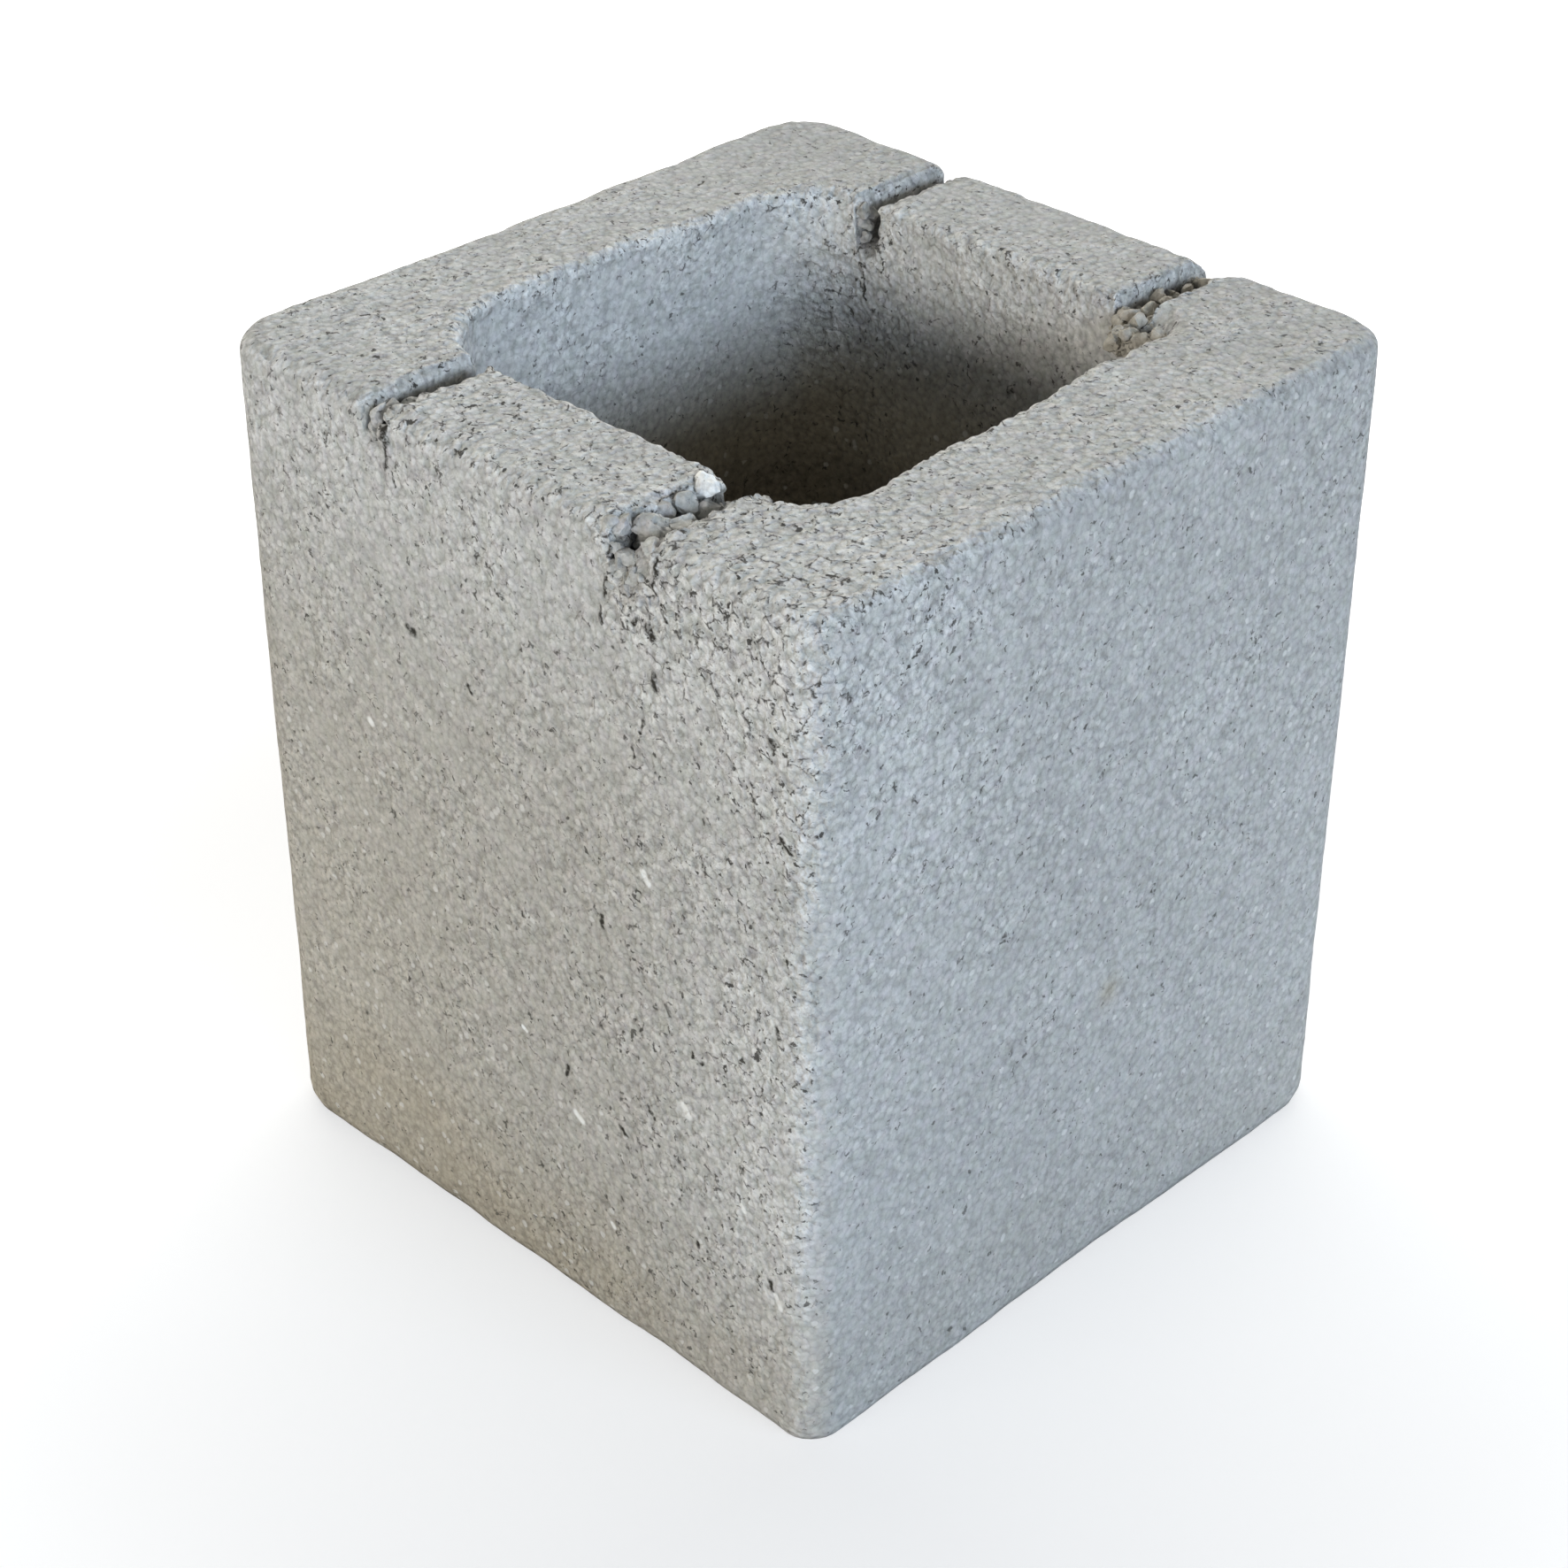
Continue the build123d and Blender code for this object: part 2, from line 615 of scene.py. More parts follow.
    def outer_face(self, columns: np.ndarray, side: Side) -> Patch:
        """Lays out an outer face, cut open above the floors of its slots.

        Args:
            columns: ring columns of the face.
            side: which face it is.

        Returns:
            Its grid.
        """
        share = self.slot_share(columns, 0.0 * columns)
        upper = np.linspace(0, 1, self.slot_rows + 1)[:, None] * share
        lower = self.rows_below(self.outer_rows, self.outer_steps)[1:, None] * (self.tall - share) + share
        height = self.tall - np.concatenate([upper, lower])
        rows = len(height)
        column = np.tile(columns, (rows, 1))
        keep = np.ones((rows - 1, len(columns) - 1), bool)
        keep[: self.slot_rows] = ~self.is_slot_cell(columns)
        across = np.zeros(height.shape)
        middle = MAP_MIDDLE + MAP_PITCH * side.value
        uv = np.stack([self.flat_run(columns, 0.0, height) + middle, height], axis=-1)
        return Patch(column, across, height, uv, Facing.OUT, keep)

    def flat_run(self, columns: np.ndarray, across: float, height: np.ndarray) -> np.ndarray:
        """Length along a face from its middle, column by column, as measured a little above the foot.

        Args:
            columns: ring columns of the face.
            across: 0 for the outer face, 1 for the shaft's wall.
            height: array that gives the shape wanted.

        Returns:
            The length of each column, repeated for each row of height.
        """
        row = self.place(columns, np.full(len(columns), across), np.full(len(columns), 60.0))["point"]
        steps = np.linalg.norm(np.diff(row, axis=0), axis=1)
        run = np.concatenate(([0.0], np.cumsum(steps)))
        return np.broadcast_to(run - run[-1] / 2, height.shape)

    def shaft_wall(self, columns: np.ndarray, side: Side) -> tuple[list[Patch], tuple[Patch, Patch]]:
        """Lays out a wall of the shaft: fine near the rim, and half as many columns further down.

        Args:
            columns: ring columns of the wall.
            side: the outer face behind it.

        Returns:
            Its two grids, and the two rows between them.
        """
        share = self.slot_share(columns, 1.0 + 0.0 * columns)
        upper = np.linspace(0, 1, self.slot_rows + 1)[:, None] * share
        fine_end = share + self.shaft_step * self.shaft_rows
        lower = share + np.linspace(0, 1, self.shaft_rows + 1)[1:, None] * (fine_end - share)
        height = self.tall - np.concatenate([upper, lower])
        keep = np.ones((len(height) - 1, len(columns) - 1), bool)
        keep[: self.slot_rows] = ~self.is_slot_cell(columns)
        half = columns[::2]
        start = height[-1]
        first = start[::2] - self.join_step
        deep = first - self.rows_below(self.deep_rows, self.deep_steps)[:, None] * first
        join = (self.shaft_patch(columns, start[None], side), self.shaft_patch(half, deep[:1], side))
        return [self.shaft_patch(columns, height, side, keep), self.shaft_patch(half, deep, side)], join

    def shaft_patch(self, columns: np.ndarray, height: np.ndarray, side: Side,
                    keep: np.ndarray | None = None) -> Patch:
        """Makes one grid on the shaft's wall.

        Args:
            columns: ring columns of the wall.
            height: height of each grid point.
            side: the outer face behind the wall.
            keep: which cells are skin, or None for all.

        Returns:
            The grid.
        """
        grid = np.tile(columns, (len(height), 1))
        middle = np.array([MAP_MIDDLE + MAP_PITCH * side.value, SHAFT_LEVEL])
        uv = np.stack([self.flat_run(columns, 1.0, height), height], axis=-1) + middle
        return Patch(grid, np.ones(height.shape), height, uv, Facing.IN, keep)

    def rim_and_foot(self, columns: np.ndarray) -> tuple[list[Patch], tuple[Patch, Patch]]:
        """Lays out the rim between the slots, and the foot with half as many columns towards the shaft.

        Args:
            columns: ring columns of one side.

        Returns:
            The rim's grid and the foot's two, and the two rows between these.
        """
        rim = np.linspace(0, 1, self.rim_rows + 1)
        keep = np.tile(~self.is_slot_cell(columns), (self.rim_rows, 1))
        outer = np.array(self.foot_rims)
        half = columns[::2]
        inner = np.linspace(self.foot_inner, 1, self.foot_rows + 1)
        grids = [self.level_patch(columns, rim, Facing.UP, keep),
                 self.level_patch(columns, outer, Facing.DOWN), self.level_patch(half, inner, Facing.DOWN)]
        join = (self.level_patch(columns, outer[-1:], Facing.DOWN),
                self.level_patch(half, inner[:1], Facing.DOWN))
        return grids, join

    def level_patch(self, columns: np.ndarray, rows: np.ndarray, facing: Facing,
                    keep: np.ndarray | None = None) -> Patch:
        """Makes one level grid on the rim or the foot, mapped flat as seen from outside.

        Args:
            columns: ring columns.
            rows: place of each row through the wall.
            facing: up for the rim, down for the foot.
            keep: which cells are skin, or None for all.

        Returns:
            The grid.
        """
        across = rows[:, None] * np.ones(len(columns))
        grid = np.tile(columns, (len(rows), 1))
        level = np.full(across.shape, self.tall if facing is Facing.UP else 0.0)
        flat = self.place(grid, across, level)["point"][..., :2]
        mirror = np.array([1.0, 1.0 if facing is Facing.UP else -1.0])
        middle = RIM_MIDDLE if facing is Facing.UP else FOOT_MIDDLE
        return Patch(grid, across, level, flat * mirror + np.array(middle), facing, keep)

    def slot_walls(self, quadrant: int) -> list[Patch]:
        """Lays out the two walls and the floor of the slot in one quadrant.

        Args:
            quadrant: number of the quadrant in the ring's order.

        Returns:
            The three grids.
        """
        grids = []
        start = quadrant * self.quarter
        ends = np.array([self.near_column, self.far_column])
        lips = start + (ends if quadrant % 2 == 0 else self.quarter - ends)
        across = np.linspace(0, 1, self.rim_rows + 1)
        map_x, map_y = SLOT_CORNER[0] + SLOT_PITCH[0] * quadrant, SLOT_CORNER[1]
        for number, lip in enumerate(lips):
            share = self.slot_share(np.full(across.shape, lip), across)
            down = np.linspace(0, 1, self.slot_rows + 1)[:, None] * share
            grid = np.full(down.shape, lip)
            height = self.tall - down
            corner = np.array([map_x, map_y + SLOT_PITCH[1] * number])
            uv = np.stack([across * SLOT_LENGTH + 0 * down, down], axis=-1) + corner
            grids.append(Patch(grid, across + 0 * height, height, uv, Facing.GAP))
        low, high = sorted(lips)
        grid = np.tile(np.arange(low, high + 1), (len(across), 1))
        height = self.tall - self.slot_share(grid, across[:, None] + 0 * grid)
        uv = np.stack([across[:, None] * SLOT_LENGTH + 0 * grid, 2.0 * (grid - low)], axis=-1)
        uv = uv + np.array([map_x, map_y + SLOT_PITCH[1] * len(lips)])
        return grids + [Patch(grid, across[:, None] + 0 * height, height, uv, Facing.UP)]

    def turned_out(self, patch: Patch, faces: np.ndarray, points: np.ndarray) -> np.ndarray:
        """Turns a grid's faces round where they point into the concrete.

        The faces' summed normals are held against the way that the grid has to look.

        Args:
            patch: the grid.
            faces: its faces as point numbers.
            points: its points.

        Returns:
            The faces, which point outwards.
        """
        a, b, c = points[faces[:, 0]], points[faces[:, 1]], points[faces[:, 2]]
        normal = np.cross(b - a, c - b)
        middle = (a + c) / 2
        flat = middle * np.array([1, 1, 0])
        up = np.array([0.0, 0.0, 1.0])
        column = int(np.mod(patch.column.flat[0], self.ring))
        slot_x = self.sign[column, 0] * (self.sizes["near"][column] + self.sizes["far"][column]) / 2
        gap = (slot_x - middle[:, :1]) * np.array([1, 0, 0])
        toward = {Facing.OUT: flat, Facing.IN: -flat, Facing.UP: up, Facing.DOWN: -up, Facing.GAP: gap}
        return faces if (normal * toward[patch.facing]).sum() > 0 else faces[:, ::-1]

    def quads(self, patch: Patch, points: np.ndarray) -> np.ndarray:
        """Lists the faces of a grid.

        Args:
            patch: the grid.
            points: its points.

        Returns:
            Its quads as point numbers.
        """
        number = np.arange(patch.height.size).reshape(patch.height.shape)
        quads = np.stack([number[:-1, :-1], number[:-1, 1:], number[1:, 1:], number[1:, :-1]], axis=-1)
        quads = quads.reshape(-1, 4) if patch.keep is None else quads[patch.keep]
        return self.turned_out(patch, quads, points)

    def bridge(self, fine: Patch, coarse: Patch, points: np.ndarray) -> np.ndarray:
        """Joins a row to one half as fine, by three triangles to each step of the coarse one.

        Args:
            fine: the fine row.
            coarse: the coarse row.
            points: the points of both.

        Returns:
            The triangles as point numbers.
        """
        f = np.arange(0, fine.height.size - 1, 2)
        c = np.arange(coarse.height.size - 1) + fine.height.size
        triangles = np.concatenate([
            np.stack([f, f + 1, c], axis=-1), np.stack([f + 1, c + 1, c], axis=-1),
            np.stack([f + 1, f + 2, c + 1], axis=-1)])
        return self.turned_out(fine, triangles, points)

    def skin(self) -> tuple[np.ndarray, Faces, np.ndarray, Named]:
        """Joins the grids into one closed surface.

        Returns:
            The points, the faces as point numbers, each face corner's place in the flat map, and the points'
            distances from the faces around them.
        """
        grids, joins = self.patches()
        patches = grids + [row for pair in joins for row in pair]
        placed = []
        for patch in patches:
            result = self.place(patch.column, patch.across, patch.height)
            size = patch.height.size
            placed.append({key: np.reshape(value, (size, -1)) for key, value in result.items()})
        stacked = {key: np.concatenate([one[key] for one in placed]) for key in placed[0]}
        starts = np.cumsum([0] + [patch.height.size for patch in patches])
        faces = []
        for patch, one, start in zip(grids, placed, starts):
            faces += (self.quads(patch, one["point"]) + start).tolist()
        for (fine, coarse), start in zip(joins, starts[len(grids)::2]):
            faces += (self.bridge(fine, coarse, stacked["point"][start:]) + start).tolist()
        return self.weld(stacked, faces, np.concatenate([patch.uv.reshape(-1, 2) for patch in patches]))

    def weld(self, stacked: Named, faces: list[list[int]],
             uvs: np.ndarray) -> tuple[np.ndarray, Faces, np.ndarray, Named]:
        """Merges the points that neighbouring grids share, and drops those that no face uses.

        Args:
            stacked: the points and their distances, grid after grid.
            faces: the faces as point numbers.
            uvs: each point's place in the flat map.

        Returns:
            The points, the faces, each face corner's place in the flat map, and the points' distances.
        """
        corners = np.concatenate([np.array(face) for face in faces])
        used = np.unique(corners)
        key = np.round(stacked["point"][used] * 2000).astype(np.int64)
        first, inverse = np.unique(key, axis=0, return_index=True, return_inverse=True)[1:]
        new_number = np.full(len(stacked["point"]), -1)
        new_number[used] = inverse.ravel()
        merged = {name: value[used][first] for name, value in stacked.items()}
        points = merged.pop("point")
        marks = {name: value[:, 0] for name, value in merged.items()}
        new_faces, face_uvs = [], []
        for face in faces:
            numbers = [int(new_number[corner]) for corner in face]
            if len(set(numbers)) == len(numbers):
                new_faces.append(tuple(numbers))
                face_uvs += face
        return points, new_faces, uvs[np.array(face_uvs)], marks


def vertex_normals(points: np.ndarray, faces: Faces) -> np.ndarray:
    """Normals of the points: the sum of the cross products of the faces around each, made unit length.

    Args:
        points: the surface's points.
        faces: its triangles and quads as point numbers.

    Returns:
        One unit vector for each point.
    """
    quads = np.array([face if len(face) == 4 else face + (face[2],) for face in faces])
    a, b, c, d = (points[quads[:, k]] for k in range(4))
    normal = np.cross(c - a, d - b)
    triangle = quads[:, 2] == quads[:, 3]
    normal[triangle] = np.cross(b - a, c - a)[triangle]
    total = np.zeros_like(points)
    for k in range(4):
        np.add.at(total, quads[:, k], normal)
    return total / np.maximum(np.linalg.norm(total, axis=1, keepdims=True), 1e-9)


@dataclass(frozen=True)
class Push:
    """A smooth local shift of the skin, strongest at its place and gone at about twice its reach."""

    place: Triple
    shift: Triple
    reach: float


@dataclass(frozen=True)
class Chip:
    """A bite out of an edge: what lay inside a ball is moved onto the ball's surface."""

    place: Triple
    radius: float


RIM_PUSHES = (
    Push((65.0, -44.0, 232.0), (1.8, -0.5, 0.0), 20.0),
    Push((62.0, 34.0, 232.0), (-3.0, 0.0, 0.0), 24.0),
    Push((58.0, -58.0, 232.0), (3.6, -5.2, 0.0), 11.0),
    Push((-65.0, 40.0, 232.0), (2.8, 0.0, 0.0), 20.0),
    Push((-52.0, 60.0, 232.0), (-2.0, 3.0, 0.0), 9.0),
    Push((54.0, 60.5, 229.0), (1.0, 1.2, -5.5), 7.0),
)

CHIPS = (
    Chip((58.0, 56.0, 232.4), 4.2),
    Chip((49.0, 98.5, 236.0), 9.0),
    Chip((52.5, -66.5, 232.5), 5.0),
    Chip((35.0, -101.0, 231.5), 4.2),
    Chip((53.0, -100.5, 232.5), 4.4),
    Chip((-36.8, -98.5, 231.5), 3.6),
    Chip((-39.0, 63.0, 232.0), 4.0),
    Chip((-43.5, 103.0, 233.4), 7.6),
    Chip((-12.0, 62.5, 233.0), 4.2),
    Chip((20.0, 62.5, 233.5), 4.4),
    Chip((-62.0, -20.0, 233.4), 4.2),
    Chip((4.0, -62.5, 233.5), 4.6),
    Chip((24.0, -63.0, 233.0), 3.8),
    Chip((61.5, 8.0, 233.2), 4.2),
    Chip((100.5, 40.0, 232.5), 3.8),
    Chip((101.0, -48.0, 232.8), 4.0),
    Chip((-8.0, 101.0, 232.6), 4.0),
    Chip((-101.0, 12.0, 232.8), 4.2),
)


class Regions:
    """Where each point lies on the casting.

    Attributes:
        x: place across the plain walls.
        y: place across the slotted walls.
        z: height.
        top: distance below the rim's level.
        shaft: distance from the shaft's wall.
        out: distance from the outer face.
        beside: distance from the nearest slot's wall.
        under: distance below the level of that slot's floor.
        ragged: how crumbled that wall is, from 0 to 1.
        front: 1 on the front wall's face.
        plain: 1 on the faces of the plain walls.
        slotted: 1 on those of the slotted walls.
        outside: 1 on any outer face.
        within: 1 on the shaft's wall.
        rim: 1 on the rim.
        shaft_edge: 1 on the rim's edge at the shaft.
        outer_edge: 1 on its outer edge.
        slot: 1 on the walls and floors of the slots.
        lips: 1 on the slots' lips and walls.
    """

    def __init__(self, points: np.ndarray, marks: Named) -> None:
        """Works out the masks, each of which fades by a smooth step of a distance.

        Args:
            points: the clean surface.
            marks: each point's distances from the faces around it.
        """
        self.x, self.y, self.z = points.T
        self.top, self.shaft, self.out = marks["top"], marks["shaft"], marks["out"]
        self.beside, self.ragged = marks["beside"], marks["ragged"]
        self.under = self.top - marks["depth"]
        self.outside = ease(2.0, 0.0, self.out)
        self.front = ease(95, 99, -self.y)
        self.plain = ease(95, 99, np.abs(self.x)) * self.outside
        self.slotted = ease(95, 99, np.abs(self.y)) * self.outside
        self.within = ease(3.0, 0.5, self.shaft)
        self.rim = ease(4.0, 1.0, self.top)
        self.shaft_edge = ease(6.5, 0.5, self.shaft) * ease(8.0, 0.5, self.top)
        self.outer_edge = ease(6.0, 0.5, self.out) * ease(7.0, 0.5, self.top)
        self.slot = ease(1.2, 0.0, self.beside) * ease(3.0, 0.0, self.under)
        self.lips = ease(5.0, 0.5, self.beside) * ease(4.0, 0.0, self.under)


@dataclass
class Weathering:
    """Turns the clean casting into a rammed, crumbled one.

    Attributes:
        Turns the clean casting into a rammed, crumbled one, and works out its masks of colour, painted light
        and painted shade.
        wave: height of the slow wave.
        wave_size: its length.
        lump: height of the lumps on closed skin.
        lump_size: their size.
        sand: height of the sand there.
        sand_size: its size.
        grain_size: distance from one round grain to the next.
        grain_reach: radius of a grain.
        foot_play: height up to which a point of the foot may be lifted.
    """

    seed: int = 11
    wave: float = 0.4
    wave_size: float = 70.0
    lump: float = 0.2
    lump_size: float = 12.0
    sand: float = 0.1
    sand_size: float = 3.2
    grain_size: float = 4.6
    grain_reach: float = 3.0
    foot_play: float = 0.5

    def apply(self, points: np.ndarray, faces: Faces,
              marks: Named) -> tuple[np.ndarray, Named]:
        """Moves the points along their normals by the mix's relief, and by the listed pushes and chips.

        Args:
            points: the clean surface.
            faces: its faces.
            marks: each point's distances from the faces around it.

        Returns:
            The moved points, and the masks that the finish reads.
        """
        at = Regions(points, marks)
        crumble = self.crumble(points, at)
        moved = points + vertex_normals(points, faces) * self.relief(points, at, crumble)[:, None]
        moved, bitten = self.batter(moved, at)
        level = moved[:, 2]
        moved[:, 2] = np.where(marks["foot"] < 0.01, np.clip(level, 0, self.foot_play), level)
        wear = self.wear(points, at, crumble) + 0.3 * bitten + 0.25 * at.shaft_edge
        wear = wear + 0.2 * at.lips * at.ragged + 0.15 * at.slot
        masks = {
            "wear": np.clip(wear, 0, 1.2),
            "crumble": np.clip(crumble + bitten + 0.8 * at.slot * at.ragged, 0, 1),
            "tone": self.tone(points, at), "brown_and_shade": self.brown_and_shade(points, at), "clean": points,
        }
        return moved, masks

    def relief(self, points: np.ndarray, at: Regions, crumble: np.ndarray) -> np.ndarray:
        """Height of the relief: a slow wave, lumps, sand and round grains, each stronger on the loose parts.

        A grain is a dome about the nearest seed, the root of 1 - (distance / reach)^2. Some are missing and
        leave a hole, and grooves run where two seeds are as far.

        Args:
            points: the clean surface.
            at: where the points lie.
            crumble: where the mix is breaking up.

        Returns:
            The height at each point.
        """
        struck = ease(3.0, 0.5, at.top)
        loose = at.ragged
        wave = smooth_noise(points, self.wave_size, self.seed)
        lump = layered_noise(points, self.lump_size, self.seed + 10)
        sand = layered_noise(points, self.sand_size, self.seed + 20, 2)
        nearest, second, mark = grain_noise(points, self.grain_size, self.seed + 30)
        off = nearest / self.grain_reach
        dome = np.sqrt(np.clip(1 - off**2, 0, 1))
        groove = ease(1.3, 0.1, second - nearest)
        relief = self.wave * wave * (1 - 0.5 * struck)
        relief += lump * (self.lump + 0.22 * struck + 0.35 * at.shaft_edge + 0.5 * at.lips * loose)
        sandy = self.sand + 0.1 * struck + 0.3 * at.shaft_edge + 0.3 * at.slot * (0.3 + loose)
        relief += sand * (sandy + 0.12 * crumble)
        grainy = 0.75 * at.shaft_edge + 0.9 * at.slot * loose + 0.7 * at.lips * loose + 0.35 * crumble
        relief += (dome - 0.5) * (mark < 0.6) * grainy
        relief -= ease(0.9, 0.2, off) * (mark > 0.72) * (0.9 * at.shaft_edge + 0.9 * at.lips * loose)
        relief -= 0.3 * at.outer_edge * (mark > 0.6) * dome
        relief -= groove * (0.3 * at.shaft_edge + 0.5 * at.slot * loose + 0.3 * crumble)
        return relief

    def batter(self, points: np.ndarray, at: Regions) -> tuple[np.ndarray, np.ndarray]:
        """Shifts the shaft's upper edge by the listed pushes, and bites the listed chips out.

        Args:
            points: the surface with its relief.
            at: where the points lie.

        Returns:
            The moved points, and a mask that is 1 on the chips.
        """
        near_shaft = ease(12.0, 4.0, at.shaft)[:, None]
        for push in RIM_PUSHES:
            away = np.linalg.norm(points - np.array(push.place), axis=1) / push.reach
            points = points + np.exp(-away**2)[:, None] * np.array(push.shift) * near_shaft
        bitten = np.zeros(len(points))
        for chip in CHIPS:
            points, fresh = self.bite(points, chip)
            bitten = np.maximum(bitten, fresh)
        return points, bitten

    def bite(self, points: np.ndarray, chip: Chip) -> tuple[np.ndarray, np.ndarray]:
        """Moves the points inside a chip's ball along its rays, onto its ragged surface.

        Args:
            points: the surface.
            chip: the ball.

        Returns:
            The moved points, and a mask that is 1 on the chip.
        """
        ray = points - np.array(chip.place)
        far = np.linalg.norm(ray, axis=1)
        ragged = 0.22 * layered_noise(points, 5.0, self.seed + 60)
        ragged += 0.1 * smooth_noise(points, 2.4, self.seed + 63)
        radius = chip.radius * (1 + ragged)
        stretch = np.where(far < radius, radius / np.maximum(far, 0.4) - 1, 0.0)
        return points + ray * stretch[:, None], ease(1.15, 0.95, far / radius)

    def crumble(self, points: np.ndarray, at: Regions) -> np.ndarray:
        """Where the mix is breaking up into lumps: about the front right slot and down the face below it.

        Bell curves about the slot, the shoulder beside it and the upright edge are summed, patchily.

        Args:
            points: the clean surface.
            at: where the points lie.

        Returns:
            A mask from 0 to 1.
        """
        x, y, z = at.x, at.y, at.z
        front = ease(-60, -90, y)
        below = np.exp(-((x - 44) / 12) ** 2) * ease(165, 222, z) * front
        shoulder = np.exp(-(((x - 66) / 24) ** 2 + ((z - 232) / 20) ** 2)) * front
        corner = np.exp(-((x - 92) ** 2 + (y + 92) ** 2) / 18**2) * ease(120, 235, z)
        slots = ease(9.0, 1.0, at.beside) * ease(14.0, 0.0, at.under) * at.ragged
        patchy = 0.75 + 0.5 * smooth_noise(points, 11.0, self.seed + 70)
        return np.clip((0.9 * below + 0.8 * shoulder + 0.5 * corner + 0.55 * slots) * patchy, 0, 1)

    def wear(self, points: np.ndarray, at: Regions, crumble: np.ndarray) -> np.ndarray:
        """How open the texture is: a level for each region, shaded along it by smooth steps, plus noise.

        Args:
            points: the clean surface.
            at: where the points lie.
            crumble: where the mix is breaking up.

        Returns:
            A mask from 0 for skin that the mould closed to about 1 for loose grit.
        """
        x, y, z = at.x, at.y, at.z
        back_wall = at.within * ease(50, 60, y) * ease(75, 30, at.top)
        wear = 0.4 + 0.2 * at.rim + 0.12 * back_wall
        # Front wall: open along its top and its right edge
        near_edge = 0.3 * ease(20, 95, x) * ease(0, 150, z)
        closed = 0.05 * ease(180, 120, z) * ease(30, -60, x) - 0.08 * ease(-60, 10, x)
        wear += at.outside * at.front * (0.12 * ease(170, 222, z) + near_edge - closed)
        # Plain walls: closed low down, open at the top near the front
        near_corner = np.exp(-(((y + 100) / 45) ** 2)) * ease(100, 225, z)
        wear += at.plain * (0.28 * near_corner - 0.14 * ease(150, 60, z) - 0.06)
        # Rim: open in front, closed at the back and on the left
        wear += at.rim * (0.16 * ease(30, -70, y) - 0.16 * ease(50, 90, y) - 0.14 * ease(-40, -80, x))
        wear += 0.4 * crumble
        wear += 0.2 * smooth_noise(points, 22.0, self.seed + 50)
        wear += 0.26 * layered_noise(points, 9.0, self.seed + 51, 2)
        return np.clip(wear, 0, 1.2)

    def tone(self, points: np.ndarray, at: Regions) -> np.ndarray:
        """Brightness of the paste: a level for each region, shaded along it by smooth steps, plus noise,
        with painted light and shade in the shaft, at the slots' floors and on the front edge.

        Args:
            points: the clean surface.
            at: where the points lie.

        Returns:
            A factor of about 1 for each point.
        """
        x, y, z, top = at.x, at.y, at.z, at.top
        tone = 1.0 - 0.08 * at.plain + 0.05 * at.rim
        # Slotted walls: paler at the top, and on the front wall towards its two edges
        tone += at.slotted * (0.07 * ease(150, 215, z) - 0.05 * ease(60, 0, z))
        tone += 0.18 * at.front * ease(40, 95, x) * ease(150, 40, z)
        tone += 0.05 * at.front * ease(0, -80, x)
        # Plain walls and rim: paler in front and on the right, darker at the back
        tone += 0.05 * at.plain * ease(-20, -90, y) - 0.08 * at.rim * ease(30, 80, y)
        tone += 0.05 * at.rim * ease(140, 175, x - y)
        # Shaft: painted light just below the rim and high on the left wall, and painted shade ever darker
        # further down and on the back wall
        tone += 0.05 * at.within * ease(-50, -60, x) * ease(60, 20, top)
        tone += at.within * (0.17 * ease(45, 8, top) - 0.4 * ease(25, 95, top))
        tone -= 0.4 * at.within * ease(85, 125, top)
        tone -= 0.2 * at.within * ease(50, 60, y) * ease(6, 32, top)
        # Slots: painted shade at their floors
        in_slot = ease(1.0, 0.0, at.beside) * ease(3.0, 0.0, at.under)
        tone -= 0.62 * in_slot * ease(3.5, 8.0, top) * ease(-0.5, 2.0, at.out)
        # Upright edge in front: a little darker, as painted shade
        tone -= 0.06 * (ease(7.0, 2.0, np.hypot(x - 97, y + 97)) * ease(3.0, 0.5, at.out))
        tone += 0.03 * smooth_noise(points, 30.0, self.seed + 80)
        tone += 0.03 * smooth_noise(points, 90.0, self.seed + 81)
        tone += 0.05 * layered_noise(points, 10.0, self.seed + 83, 2)
        return tone

    def brown_and_shade(self, points: np.ndarray, at: Regions) -> np.ndarray:
        """Brown colour low on the outer faces, more of it on the slotted walls, and painted shade deep in
        the shaft.

        Args:
            points: the clean surface.
            at: where the points lie.

        Returns:
            How strong the brown colour and the painted shade are, from 0 to 1.9.
        """
        x, y, z = at.x, at.y, at.z
        outer = ease(3.0, 0.5, at.out)
        slotted = ease(90, 98, np.abs(y))
        uneven = 0.6 + 0.5 * layered_noise(points, 28.0, self.seed + 90)
        low = ease(62, 2, z) * outer * uneven * (0.35 + 0.5 * slotted)
        corner = 0.34 * ease(190, 60, z) * ease(30, -70, x)
        corner += 0.46 * ease(225, 140, z) * ease(0, -50, y) * ease(95, 20, x)
        corner *= slotted * outer
        # Painted shade in the shaft: brown on the back wall from 25 mm down, and on every wall from 30 mm
        # down, turning dark towards the bottom
        back = 1.5 * ease(50, 60, y) * ease(25, 62, at.top)
        deep = np.maximum(back, 1.9 * ease(30, 85, at.top)) * at.within
        # One stain on the right wall, and one below the front right slot
        stain = 1.3 * np.exp(-(((y - 3.8) ** 2 + (z - 84) ** 2) / 3.6**2)) * ease(95, 99, x)
        stain += 0.7 * np.exp(-(((x - 42.8) / 4) ** 2 + ((z - 219) / 7) ** 2)) * ease(-90, -98, y)
        return np.clip(1.3 * (low + corner) + deep + stain, 0, 1.9)


@dataclass(frozen=True)
class Stone:
    """One loose stone: its middle, its three half sizes and its brightness against the paste."""

    place: Triple
    half: Triple
    tone: float = 1.0


